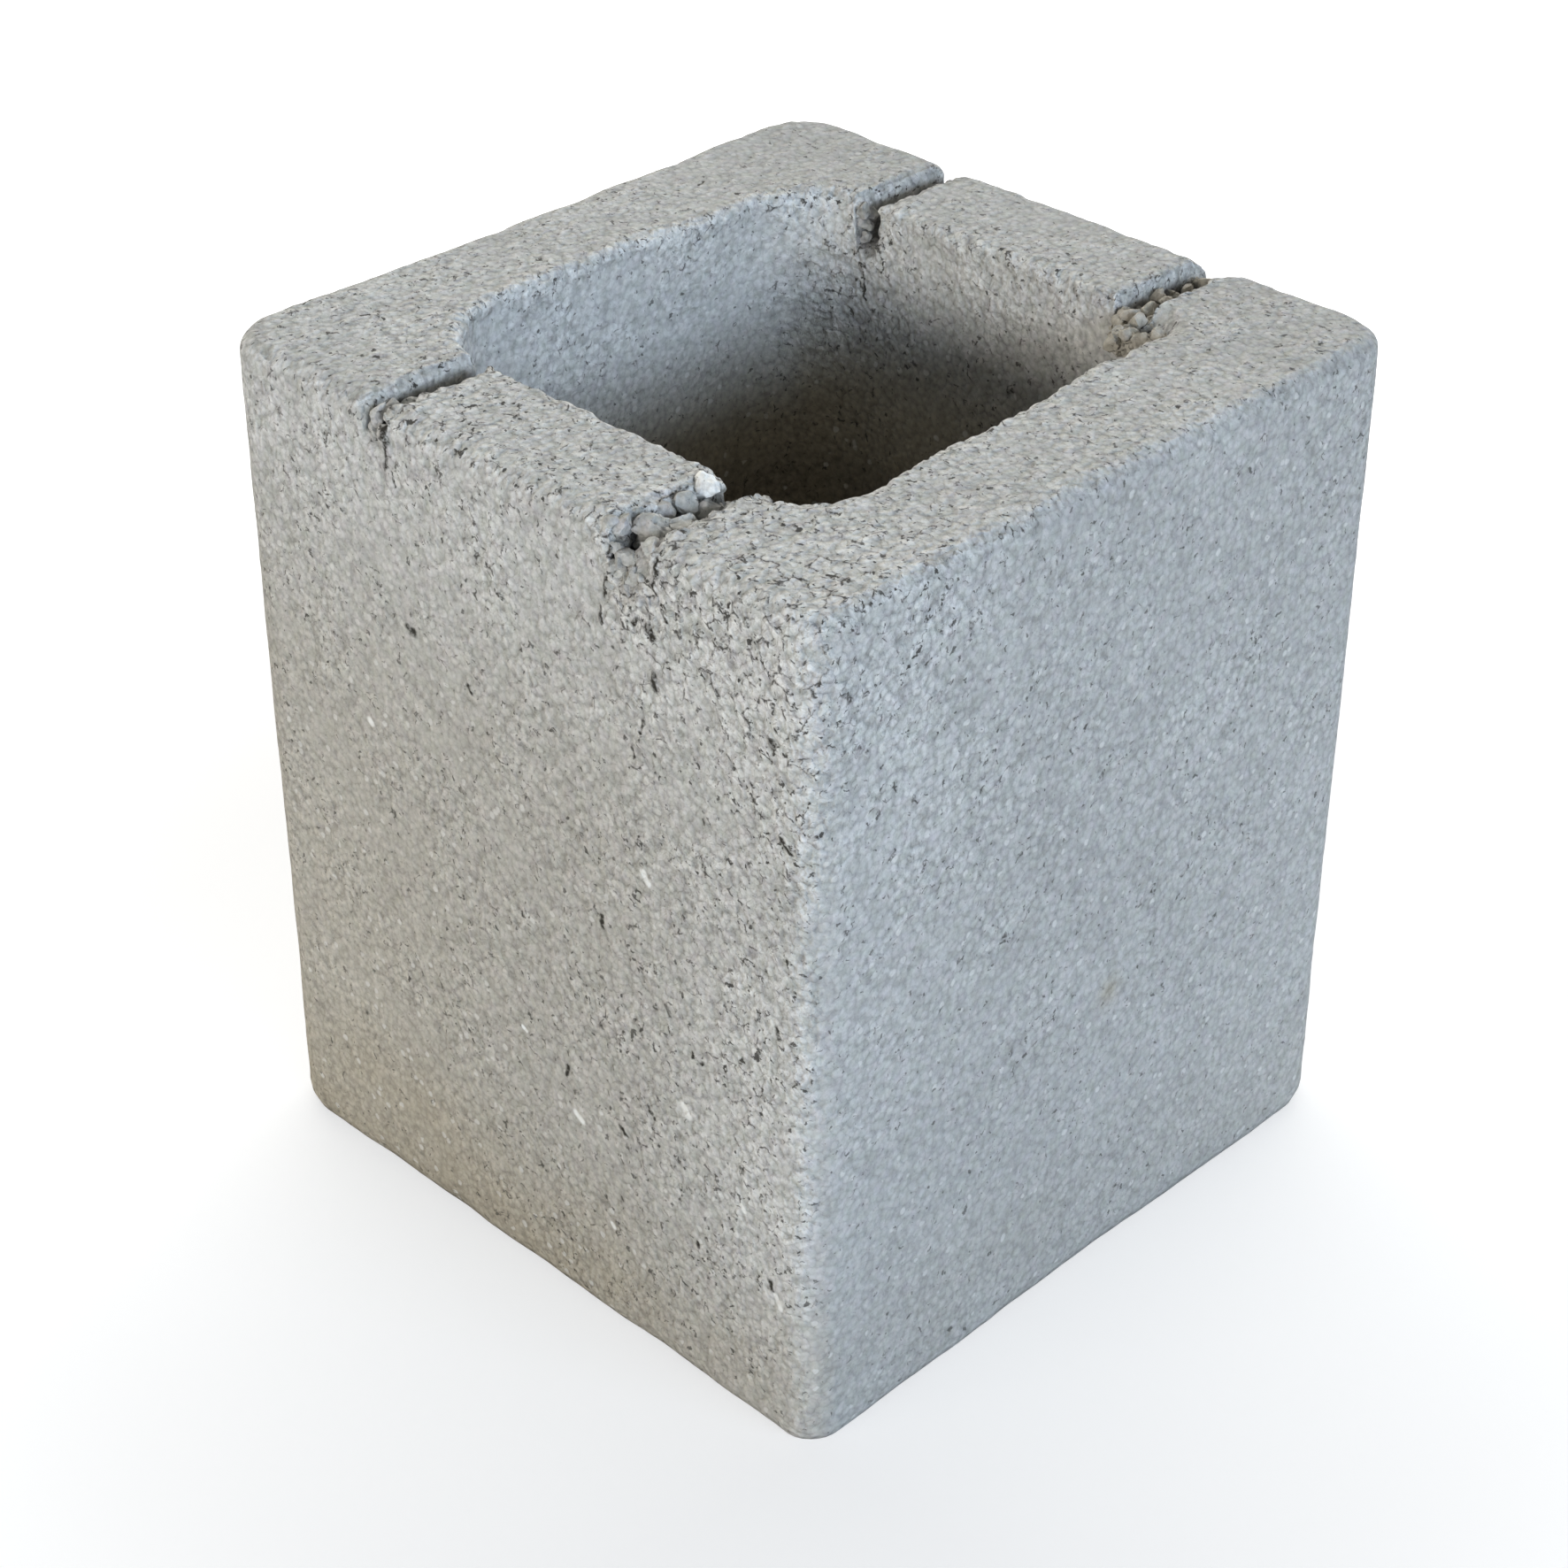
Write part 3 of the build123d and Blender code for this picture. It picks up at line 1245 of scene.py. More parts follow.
LISTED_STONES = (
    Stone((37.4, -70.2, 228.0), (3.7, 3.6, 3.2), 2.1),
    Stone((41.2, -74.0, 225.4), (2.8, 2.8, 2.7), 1.12),
    Stone((38.9, -78.8, 226.8), (2.9, 3.0, 2.7), 1.05),
    Stone((38.2, -83.6, 226.4), (2.4, 2.6, 2.4), 0.95),
    Stone((45.2, -84.4, 226.4), (3.1, 3.2, 2.9), 1.16),
    Stone((41.8, -80.4, 224.0), (2.6, 2.6, 2.4), 0.98),
    Stone((41.0, -90.0, 226.6), (3.6, 3.9, 3.2), 1.0),
    Stone((46.2, -90.8, 224.4), (2.7, 2.9, 2.6), 1.02),
    Stone((37.0, -95.6, 227.2), (2.9, 3.0, 2.9), 1.06),
    Stone((43.6, -95.6, 223.4), (2.8, 2.6, 2.6), 0.96),
    Stone((48.0, -96.6, 226.0), (2.7, 2.9, 2.9), 1.06),
    Stone((47.4, -97.3, 220.6), (2.6, 2.3, 3.1), 1.02),
    Stone((40.2, -97.2, 220.8), (2.9, 2.3, 2.6), 1.0),
    Stone((43.6, -97.6, 216.6), (2.6, 1.9, 2.3), 0.98),
    Stone((37.6, -97.6, 223.0), (2.0, 2.1, 2.2), 1.02),
    Stone((46.4, -78.4, 223.8), (2.4, 2.7, 2.3), 1.0),
    Stone((44.6, -70.6, 222.4), (2.5, 2.6, 2.4), 0.98),
    Stone((-43.2, -97.0, 226.4), (2.6, 2.4, 2.7), 1.06),
    Stone((-43.6, -97.4, 222.2), (2.5, 2.1, 2.8), 1.0),
    Stone((-43.0, -97.6, 218.0), (2.6, 2.0, 2.7), 1.04),
    Stone((-41.0, -97.8, 216.0), (2.0, 1.7, 1.9), 1.0),
    Stone((-43.8, -92.4, 225.6), (2.7, 3.0, 2.5), 1.0),
    Stone((-43.0, -87.6, 224.6), (2.4, 2.8, 2.4), 0.98),
    Stone((-44.0, -82.6, 224.0), (2.3, 2.7, 2.2), 1.02),
    Stone((-43.4, -77.2, 222.8), (2.2, 2.7, 2.2), 1.0),
    # The stones in the back left slot are darker, as painted shade of the crack that they stand in
    Stone((-46.0, 67.6, 226.0), (2.0, 1.9, 2.3), 0.86),
    Stone((-45.8, 67.8, 222.0), (1.9, 1.9, 2.2), 0.84),
    Stone((-45.4, 67.4, 218.4), (1.8, 1.8, 2.0), 0.8),
    Stone((-45.6, 71.0, 224.0), (1.7, 2.2, 2.2), 0.84),
    Stone((43.4, 66.6, 226.0), (2.6, 2.6, 2.3), 1.06),
    Stone((46.0, 71.4, 226.4), (2.5, 2.8, 2.3), 1.0),
    Stone((48.6, 63.6, 226.4), (2.9, 2.7, 2.5), 1.08),
    Stone((46.8, 62.8, 222.6), (2.2, 2.1, 2.2), 1.04),
    Stone((50.8, 61.6, 222.8), (2.3, 2.4, 2.0), 1.0),
    Stone((53.6, 66.0, 224.6), (2.2, 2.0, 2.2), 1.06),
    Stone((48.4, 68.0, 223.4), (2.4, 2.2, 2.3), 1.0),
    Stone((43.0, 78.2, 223.0), (2.0, 2.3, 1.9), 1.0),
    Stone((56.8, 60.6, 223.6), (1.9, 2.1, 2.2), 1.0),
)


@dataclass(frozen=True)
class Scatter:
    """Grit strewn in a box: its corner, its size, how many stones and how large they are."""

    low: Triple
    high: Triple
    count: int
    size: tuple[float, float]


SCATTERS = (
    Scatter((38.0, -97.5, 217.0), (48.6, -68.0, 224.6), 90, (0.8, 2.2)),
    Scatter((37.0, -98.8, 204.0), (52.5, -98.2, 221.0), 64, (1.2, 2.0)),
    Scatter((50.5, -97.0, 227.9), (58.0, -80.0, 228.4), 16, (1.4, 2.0)),
    Scatter((50.0, -98.8, 213.0), (64.0, -98.3, 226.0), 34, (1.2, 1.9)),
    Scatter((29.0, -97.5, 227.9), (36.5, -84.0, 228.4), 12, (1.3, 1.9)),
    Scatter((-45.6, -97.0, 216.0), (-40.4, -68.0, 221.5), 40, (0.9, 1.9)),
    Scatter((-46.4, 67.0, 216.0), (-39.6, 96.0, 220.0), 30, (0.9, 1.9)),
    Scatter((41.0, 62.0, 218.0), (49.6, 97.0, 225.4), 90, (1.0, 2.3)),
    Scatter((47.0, 56.5, 220.0), (60.5, 68.5, 226.6), 56, (1.1, 2.5)),
)


@dataclass
class StoneHeap:
    """All the loose stones as one mesh of angular pebbles.

    Attributes:
        seed: picks the stones' shapes and the strewn ones' places.
        cuts: how many planes cut a stone.
        cut_reach: least and greatest distance of a plane from its middle, against its half size.
        most: greatest distance of its surface from its middle, against its half size.
        wear: how open its own texture is.
    """

    seed: int = 5
    cuts: int = 9
    cut_reach: tuple[float, float] = (0.5, 0.9)
    most: float = 1.15
    wear: float = 0.4

    def layout(self) -> tuple[np.ndarray, np.ndarray, np.ndarray]:
        """Lists the stones, first those at known places and then the strewn grit.

        Returns:
            Their middles, their half sizes and their tones.
        """
        rng = np.random.default_rng(self.seed)
        places = [np.array([stone.place for stone in LISTED_STONES])]
        halves = [np.array([stone.half for stone in LISTED_STONES])]
        tones = [np.array([stone.tone for stone in LISTED_STONES])]
        for scatter in SCATTERS:
            places.append(rng.uniform(scatter.low, scatter.high, (scatter.count, 3)))
            size = rng.uniform(*scatter.size, (scatter.count, 1))
            halves.append(size * rng.uniform(0.75, 1.2, (scatter.count, 3)))
            tones.append(rng.uniform(0.86, 1.1, scatter.count))
        return np.concatenate(places), np.concatenate(halves), np.concatenate(tones)

    def build(self) -> tuple[np.ndarray, Faces, Named]:
        """Shapes the stones.

        Each is a ball cut by planes at random: along a direction the surface lies at the least of
        d / (n . direction) over the planes with normal n and distance d. The ball is then stretched and
        placed, a strewn one also turned, and all get a fine relief.

        Returns:
            The points, the faces and the masks of all stones.
        """
        ball = bmesh.new()
        bmesh.ops.create_icosphere(ball, subdivisions=3, radius=1.0)
        directions = np.array([vertex.co[:] for vertex in ball.verts])
        ball_faces = np.array([[vertex.index for vertex in face.verts] for face in ball.faces])
        ball.free()
        places, halves, tones = self.layout()
        count = len(places)
        rng = np.random.default_rng(self.seed + 1)
        normals = rng.normal(size=(count, self.cuts, 3))
        normals /= np.linalg.norm(normals, axis=-1, keepdims=True)
        reach = rng.uniform(*self.cut_reach, (count, self.cuts))
        facing = np.einsum("skj,vj->svk", normals, directions)
        radius = np.minimum(np.min(reach[:, None] / np.maximum(facing, 0.05), axis=-1), self.most)
        shaped = radius[..., None] * directions * halves[:, None]
        turn = np.linalg.qr(rng.normal(size=(count, 3, 3)))[0]
        turn *= np.sign(np.linalg.det(turn))[:, None, None]
        turn[: len(LISTED_STONES)] = np.eye(3)
        points = (np.einsum("sij,svj->svi", turn, shaped) + places[:, None]).reshape(-1, 3)
        half = np.repeat(halves, len(directions), axis=0)
        points += 0.4 * layered_noise(points, 1.7, self.seed, 2)[:, None] * half / 2
        step = len(directions) * np.arange(count)
        faces = (ball_faces[None] + step[:, None, None]).reshape(-1, 3)
        dusty = (points[:, 0] > 0) & (points[:, 1] > 0)
        masks = {
            "wear": np.full(len(points), self.wear), "crumble": np.zeros(len(points)),
            "tone": np.repeat(tones, len(directions)), "brown_and_shade": np.where(dusty, 1.0, 0.12),
        }
        return points, [tuple(face) for face in faces.tolist()], masks


def add_object(name: str, data: bpy.types.ID) -> bpy.types.Object:
    """Makes an object and links it into the scene.

    Args:
        name: its name.
        data: its mesh, camera or lamp.

    Returns:
        The new object.
    """
    thing = bpy.data.objects.new(name, data)
    bpy.context.scene.collection.objects.link(thing)
    return thing


def make_piece(name: str, points: np.ndarray, faces: Faces, uvs: np.ndarray | None,
               masks: Named, smooth: bool = True) -> bpy.types.Object:
    """Makes a mesh object at the origin, with named masks and its own flat map.

    Args:
        name: name of the piece.
        points: places in millimetres.
        faces: point numbers of each face.
        uvs: place of each face corner in the flat map in millimetres, or None.
        masks: a value or a vector for each point, by name.
        smooth: whether the faces are shaded as one rounded surface.

    Returns:
        The new object, linked into the scene.
    """
    mesh = bpy.data.meshes.new(name)
    mesh.from_pydata((points * METRES).tolist(), [], faces)
    mesh.polygons.foreach_set("use_smooth", np.full(len(faces), smooth))
    for mask, values in masks.items():
        kind, key = ("FLOAT", "value") if values.ndim == 1 else ("FLOAT_VECTOR", "vector")
        layer = mesh.attributes.new(mask, kind, "POINT")
        layer.data.foreach_set(key, values.astype(np.float32).ravel())
    if uvs is not None:
        flat = mesh.uv_layers.new(name=FLAT_MAP)
        span = uvs.max(axis=0) - uvs.min(axis=0)
        unit = (uvs - uvs.min(axis=0) + MAP_MARGIN) / (span.max() + 2 * MAP_MARGIN)
        flat.data.foreach_set("uv", unit.astype(np.float32).ravel())
    mesh.update()
    return add_object(name, mesh)


# Shader tools

class Wiring:
    """Places nodes in a tree and wires them, with short calls for the nodes used often."""

    def __init__(self, tree: bpy.types.NodeTree) -> None:
        """Keeps the tree that the nodes go into."""
        self.tree = tree

    def node(self, kind: str, inputs: dict[str | int, object] | None = None,
             **settings: object) -> bpy.types.Node:
        """Adds a node.

        Args:
            kind: the node's type.
            inputs: a value or a socket for each input, by name or number.
            settings: the node's other properties.

        Returns:
            The new node.
        """
        node = self.tree.nodes.new(kind)
        for key, value in settings.items():
            setattr(node, key, value)
        for key, value in (inputs or {}).items():
            if isinstance(value, Socket):
                self.tree.links.new(value, node.inputs[key])
            else:
                node.inputs[key].default_value = value
        return node

    def math(self, operation: str, first: object, second: object = 0.0, third: object = 0.0,
             clamp: bool = False) -> Socket:
        """Adds a Math node and returns its result."""
        values = {0: first, 1: second, 2: third}
        return self.node("ShaderNodeMath", values, operation=operation, use_clamp=clamp).outputs[0]

    def vector(self, operation: str, first: object, second: object = (0.0, 0.0, 0.0),
               third: object = (0.0, 0.0, 0.0)) -> bpy.types.Node:
        """Adds a Vector Math node."""
        return self.node("ShaderNodeVectorMath", {0: first, 1: second, 2: third}, operation=operation)

    def blend(self, factor: object, first: object, second: object,
              mode: str = "MIX") -> Socket:
        """Mixes two colours and returns the result."""
        inputs = {0: factor, 6: first, 7: second}
        return self.node("ShaderNodeMix", inputs, data_type="RGBA", blend_type=mode).outputs[2]

    def span(self, value: object, low: object, high: object, start: object = 0.0,
             end: object = 1.0) -> Socket:
        """Maps low to start and high to end along a smooth step, clamped at both."""
        inputs = {0: value, 1: low, 2: high, 3: start, 4: end}
        return self.node("ShaderNodeMapRange", inputs, interpolation_type="SMOOTHSTEP").outputs[0]

    def times(self, vector: object, factor: object) -> Socket:
        """Scales a vector by a number."""
        return self.node("ShaderNodeVectorMath", {0: vector, "Scale": factor}, operation="SCALE").outputs[0]

    def scale(self, size: object) -> object:
        """Texture scale for cells of a size in millimetres: one over the size, a number or a socket."""
        return self.math("DIVIDE", 1.0, size) if isinstance(size, Socket) else 1 / size

    def noise(self, place: object, size: object, detail: float, roughness: float) -> bpy.types.Node:
        """Adds a noise with cells of about the size given, on a place in millimetres."""
        inputs = {"Vector": place, "Scale": self.scale(size), "Detail": detail, "Roughness": roughness}
        return self.node("ShaderNodeTexNoise", inputs)

    def cells(self, place: object, size: object, feature: str = "F1") -> bpy.types.Node:
        """Adds a Voronoi texture with cells of about the size given, on a place in millimetres."""
        inputs = {"Vector": place, "Scale": self.scale(size)}
        return self.node("ShaderNodeTexVoronoi", inputs, feature=feature)

    def mask(self, name: str) -> Socket:
        """Reads a mask that the piece's points carry."""
        return self.node("ShaderNodeAttribute", attribute_name=name).outputs["Fac"]

    def grey(self, level: Socket) -> Socket:
        """Makes a grey of the level given."""
        return self.node("ShaderNodeCombineColor", {0: level, 1: level, 2: level}).outputs[0]


def new_wiring(owner: bpy.types.Material | bpy.types.World) -> Wiring:
    """Empties the node tree of a new material or world.

    Args:
        owner: the material or world.

    Returns:
        The wiring of its tree.
    """
    owner.use_nodes = True
    owner.node_tree.nodes.clear()
    return Wiring(owner.node_tree)


class Group:
    """A shader node group with named inputs and outputs."""

    def __init__(self, name: str, inputs: dict[str, object], outputs: dict[str, str]) -> None:
        """Makes an empty group.

        Args:
            name: the group's name.
            inputs: default value of each input; a tuple makes a vector input.
            outputs: socket kind of each output, "Float", "Color" or "Vector".
        """
        self.tree = bpy.data.node_groups.new(name, "ShaderNodeTree")
        for key, value in inputs.items():
            kind = "NodeSocketVector" if isinstance(value, tuple) else "NodeSocketFloat"
            socket = self.tree.interface.new_socket(key, in_out="INPUT", socket_type=kind)
            socket.default_value = value
        for key, kind in outputs.items():
            self.tree.interface.new_socket(key, in_out="OUTPUT", socket_type="NodeSocket" + kind)
        self.wiring = Wiring(self.tree)
        self.source = self.tree.nodes.new("NodeGroupInput").outputs
        self.result = self.tree.nodes.new("NodeGroupOutput").inputs

    def give(self, key: str, socket: Socket) -> None:
        """Wires a socket to one of the group's outputs."""
        self.tree.links.new(socket, self.result[key])

    def use(self, wiring: Wiring, inputs: dict[str, object]) -> bpy.types.Node:
        """Places the group in another tree with the inputs given."""
        return wiring.node("ShaderNodeGroup", inputs, node_tree=self.tree)


def build_sand_group() -> Group:
    """Sand of the mix as a soft mottle.

    Returns:
        A group that puts out Tone, the fine mottle about 0.5, Patch, the coarse one, Tint, a colour about
        mid grey, Height in millimetres and Bend, the jog in millimetres that makes pits and cracks uneven.
    """
    outputs = {"Tone": "Float", "Patch": "Float", "Tint": "Color", "Height": "Float", "Bend": "Vector"}
    inputs = {"Place": (0.0, 0.0, 0.0), "Coarse": 3.2, "Grain": 1.5, "Bend": 2.7}
    group = Group("sand of the mix", inputs, outputs)
    w, source = group.wiring, group.source
    coarse = w.noise(source["Place"], source["Coarse"], 1.0, 0.6)
    group.give("Tint", coarse.outputs["Color"])
    group.give("Patch", coarse.outputs["Fac"])
    fine = w.noise(source["Place"], source["Grain"], 2.0, 0.75)
    group.give("Tone", fine.outputs["Fac"])
    group.give("Height", w.math("MULTIPLY", fine.outputs["Fac"], source["Grain"]))
    both = w.vector("MULTIPLY_ADD", fine.outputs["Color"], (0.5, 0.5, 0.5), coarse.outputs["Color"])
    shift = w.vector("SUBTRACT", both.outputs[0], (0.75, 0.75, 0.75)).outputs[0]
    group.give("Bend", w.times(shift, source["Bend"]))
    return group


def build_grain_group() -> Group:
    """Grains of one size.

    Returns:
        A group that puts out Tone, each grain's own number from 0 to 1, Joint, 1 between grains, Pale, 1 on
        the few palest grains, and Height in millimetres.
    """
    inputs = {"Place": (0.0, 0.0, 0.0), "Size": 1.6, "Rare": 0.96}
    outputs = {"Tone": "Float", "Joint": "Float", "Pale": "Float", "Height": "Float"}
    group = Group("grains", inputs, outputs)
    w, source = group.wiring, group.source
    cell = w.cells(source["Place"], source["Size"])
    far = cell.outputs["Distance"]
    split = w.node("ShaderNodeSeparateColor", {0: cell.outputs["Color"]})
    group.give("Tone", split.outputs[0])
    group.give("Joint", w.span(far, 0.3, 0.9))
    whole = w.span(far, 0.65, 0.4)
    rare = w.math("GREATER_THAN", split.outputs[1], source["Rare"])
    group.give("Pale", w.math("MULTIPLY", whole, rare))
    dome = w.math("SUBTRACT", 1.0, w.math("MULTIPLY", far, far), clamp=True)
    group.give("Height", w.math("MULTIPLY", dome, w.math("MULTIPLY", source["Size"], 0.2)))
    return group


def build_pit_group() -> Group:
    """Pits: the places where a layered noise is lowest, more and larger as the mix gets looser.

    Returns:
        A group that puts out Mask, 1 in a pit.
    """
    inputs = {"Place": (0.0, 0.0, 0.0), "Size": 2.2, "Loose": 0.5, "Least": 0.315, "Most": 0.36}
    group = Group("pits", inputs, {"Mask": "Float"})
    w, source = group.wiring, group.source
    low = w.noise(source["Place"], source["Size"], 2.0, 0.6).outputs["Fac"]
    rim = w.span(source["Loose"], 0.0, 1.0, source["Least"], source["Most"])
    group.give("Mask", w.span(low, w.math("ADD", rim, 0.035), w.math("SUBTRACT", rim, 0.05)))
    return group


def build_fissure_group() -> Group:
    """Fissures: joints between lumps of the mix, open in runs with thin ends, and holes where joints meet.

    Returns:
        A group that puts out Mask, 1 in a fissure or a hole.
    """
    inputs = {"Place": (0.0, 0.0, 0.0), "Lump": 4.2, "Width": 0.3, "Shut": 0.6, "Where": 0.5}
    group = Group("fissures", inputs, {"Mask": "Float"})
    w, source = group.wiring, group.source
    edge = w.cells(source["Place"], source["Lump"], "DISTANCE_TO_EDGE")
    distance = w.math("MULTIPLY", edge.outputs["Distance"], source["Lump"])
    open_share = w.span(source["Where"], source["Shut"], w.math("ADD", source["Shut"], 0.16))
    width = w.math("MULTIPLY", source["Width"], open_share)
    line = w.span(distance, w.math("MULTIPLY_ADD", width, 2.0, 0.04), 0.0)
    there = w.span(source["Where"], source["Shut"], w.math("ADD", source["Shut"], 0.05))
    middle = w.cells(source["Place"], source["Lump"]).outputs["Distance"]
    least = w.math("MULTIPLY_ADD", open_share, -0.16, 0.98)
    hole = w.span(middle, least, w.math("ADD", least, 0.2))
    group.give("Mask", w.math("MAXIMUM", w.math("MULTIPLY", line, there), hole))
    return group


def build_run_group() -> Group:
    """One placed crack, stain or stone: all points within a distance of the line between two points.

    Returns:
        A group that puts out Mask, 1 on the line and 0 from Width away.
    """
    inputs = {"Place": (0.0, 0.0, 0.0), "From": (0.0, 0.0, 0.0), "To": (0.0, 0.0, 1.0), "Width": 1.0}
    group = Group("placed run", inputs, {"Mask": "Float"})
    w, source = group.wiring, group.source
    run = w.vector("SUBTRACT", source["To"], source["From"]).outputs[0]
    ray = w.vector("SUBTRACT", source["Place"], source["From"]).outputs[0]
    length = w.vector("DOT_PRODUCT", run, run).outputs["Value"]
    share = w.math("DIVIDE", w.vector("DOT_PRODUCT", ray, run).outputs["Value"], length, clamp=True)
    distance = w.vector("DISTANCE", ray, w.times(run, share)).outputs["Value"]
    group.give("Mask", w.span(distance, source["Width"], w.math("MULTIPLY", source["Width"], 0.3)))
    return group


@dataclass(frozen=True)
class Run:
    """A mark at a known place: the ends of its line in millimetres and its half width."""

    start: Triple
    end: Triple
    width: float


CRACKS = (
    Run((-37.0, -100.0, 229.5), (-37.6, -100.0, 215.8), 1.25),
    Run((-44.2, -100.0, 226.5), (-43.2, -100.0, 220.5), 0.6),
    Run((-36.0, -100.0, 217.0), (-35.0, -100.0, 212.5), 0.5),
    Run((41.1, -99.0, 228.4), (41.6, -100.0, 226.4), 1.9),
    Run((38.0, -99.5, 224.2), (37.4, -100.0, 222.4), 1.1),
    Run((51.9, -100.0, 228.0), (53.0, -100.0, 222.8), 1.0),
    Run((51.6, -100.0, 221.4), (52.4, -100.0, 217.2), 0.95),
    Run((36.8, -100.0, 217.0), (35.6, -100.0, 211.8), 0.85),
    Run((34.4, -100.0, 208.8), (35.0, -100.0, 204.6), 0.75),
    Run((49.8, -100.0, 209.4), (51.0, -100.0, 206.8), 1.5),
    Run((54.0, -100.0, 216.4), (55.2, -100.0, 212.8), 0.85),
    Run((46.4, -100.0, 210.0), (44.6, -100.0, 207.6), 0.9),
    Run((50.9, -100.0, 197.6), (51.3, -100.0, 194.0), 1.2),
    Run((46.8, -100.0, 184.4), (46.4, -100.0, 181.0), 1.0),
    Run((43.5, -100.0, 176.0), (44.0, -100.0, 173.0), 0.8),
    Run((-41.6, 65.0, 230.0), (-43.6, 65.0, 216.0), 0.9),
    Run((-43.9, 65.0, 212.5), (-42.8, 65.0, 203.0), 0.7),
)

HOLES = (
    Run((-33.4, -100.0, 174.9), (-31.6, -100.0, 174.7), 1.9),
    Run((31.0, -100.0, 123.8), (31.0, -100.0, 121.6), 1.4),
    Run((90.0, -100.0, 173.0), (92.4, -100.0, 170.8), 1.5),
    Run((86.4, -100.0, 197.0), (87.8, -100.0, 195.2), 1.4),
    Run((86.4, -100.0, 46.6), (87.0, -100.0, 44.8), 1.3),
    Run((52.6, -100.0, 109.2), (53.4, -100.0, 107.8), 1.1),
    Run((60.6, -100.0, 100.4), (61.0, -100.0, 98.6), 1.0),
    Run((62.4, -100.0, 98.2), (64.0, -100.0, 99.4), 0.8),
    Run((16.6, -100.0, 72.2), (16.0, -100.0, 69.8), 1.3),
    Run((45.6, -100.0, 75.2), (46.6, -100.0, 74.4), 1.0),
    Run((35.2, -100.0, 63.8), (36.6, -100.0, 62.8), 1.1),
    Run((61.4, -100.0, 43.4), (62.0, -100.0, 42.4), 1.0),
    Run((88.4, -100.0, 121.4), (89.2, -100.0, 119.6), 1.3),
    Run((-12.6, -100.0, 167.8), (-11.8, -100.0, 166.2), 1.1),
    Run((-82.6, 44.0, 230.0), (-81.6, 41.6, 230.0), 0.8),
)

PALE_STONES = (
    Run((45.6, -100.0, 143.4), (47.4, -100.0, 141.2), 1.5),
    Run((76.8, -100.0, 64.0), (77.8, -100.0, 62.8), 1.1),
    Run((31.0, -100.0, 31.2), (31.8, -100.0, 30.4), 1.0),
    Run((0.4, -100.0, 75.8), (1.8, -100.0, 75.2), 0.9),
    Run((-51.5, -100.0, 141.8), (-50.7, -100.0, 141.2), 1.4),
    Run((88.2, -100.0, 43.4), (89.8, -100.0, 40.2), 1.2),
    Run((57.4, -100.0, 83.2), (59.4, -100.0, 80.8), 1.6),
    Run((19.0, -100.0, 59.4), (21.4, -100.0, 57.8), 1.4),
    Run((38.0, -73.6, 230.0), (39.6, -71.6, 230.0), 1.4),
    Run((-63.4, -54.6, 230.0), (-61.8, -54.0, 230.0), 1.2),
    Run((94.2, -61.4, 230.0), (96.0, -58.6, 229.0), 1.1),
)


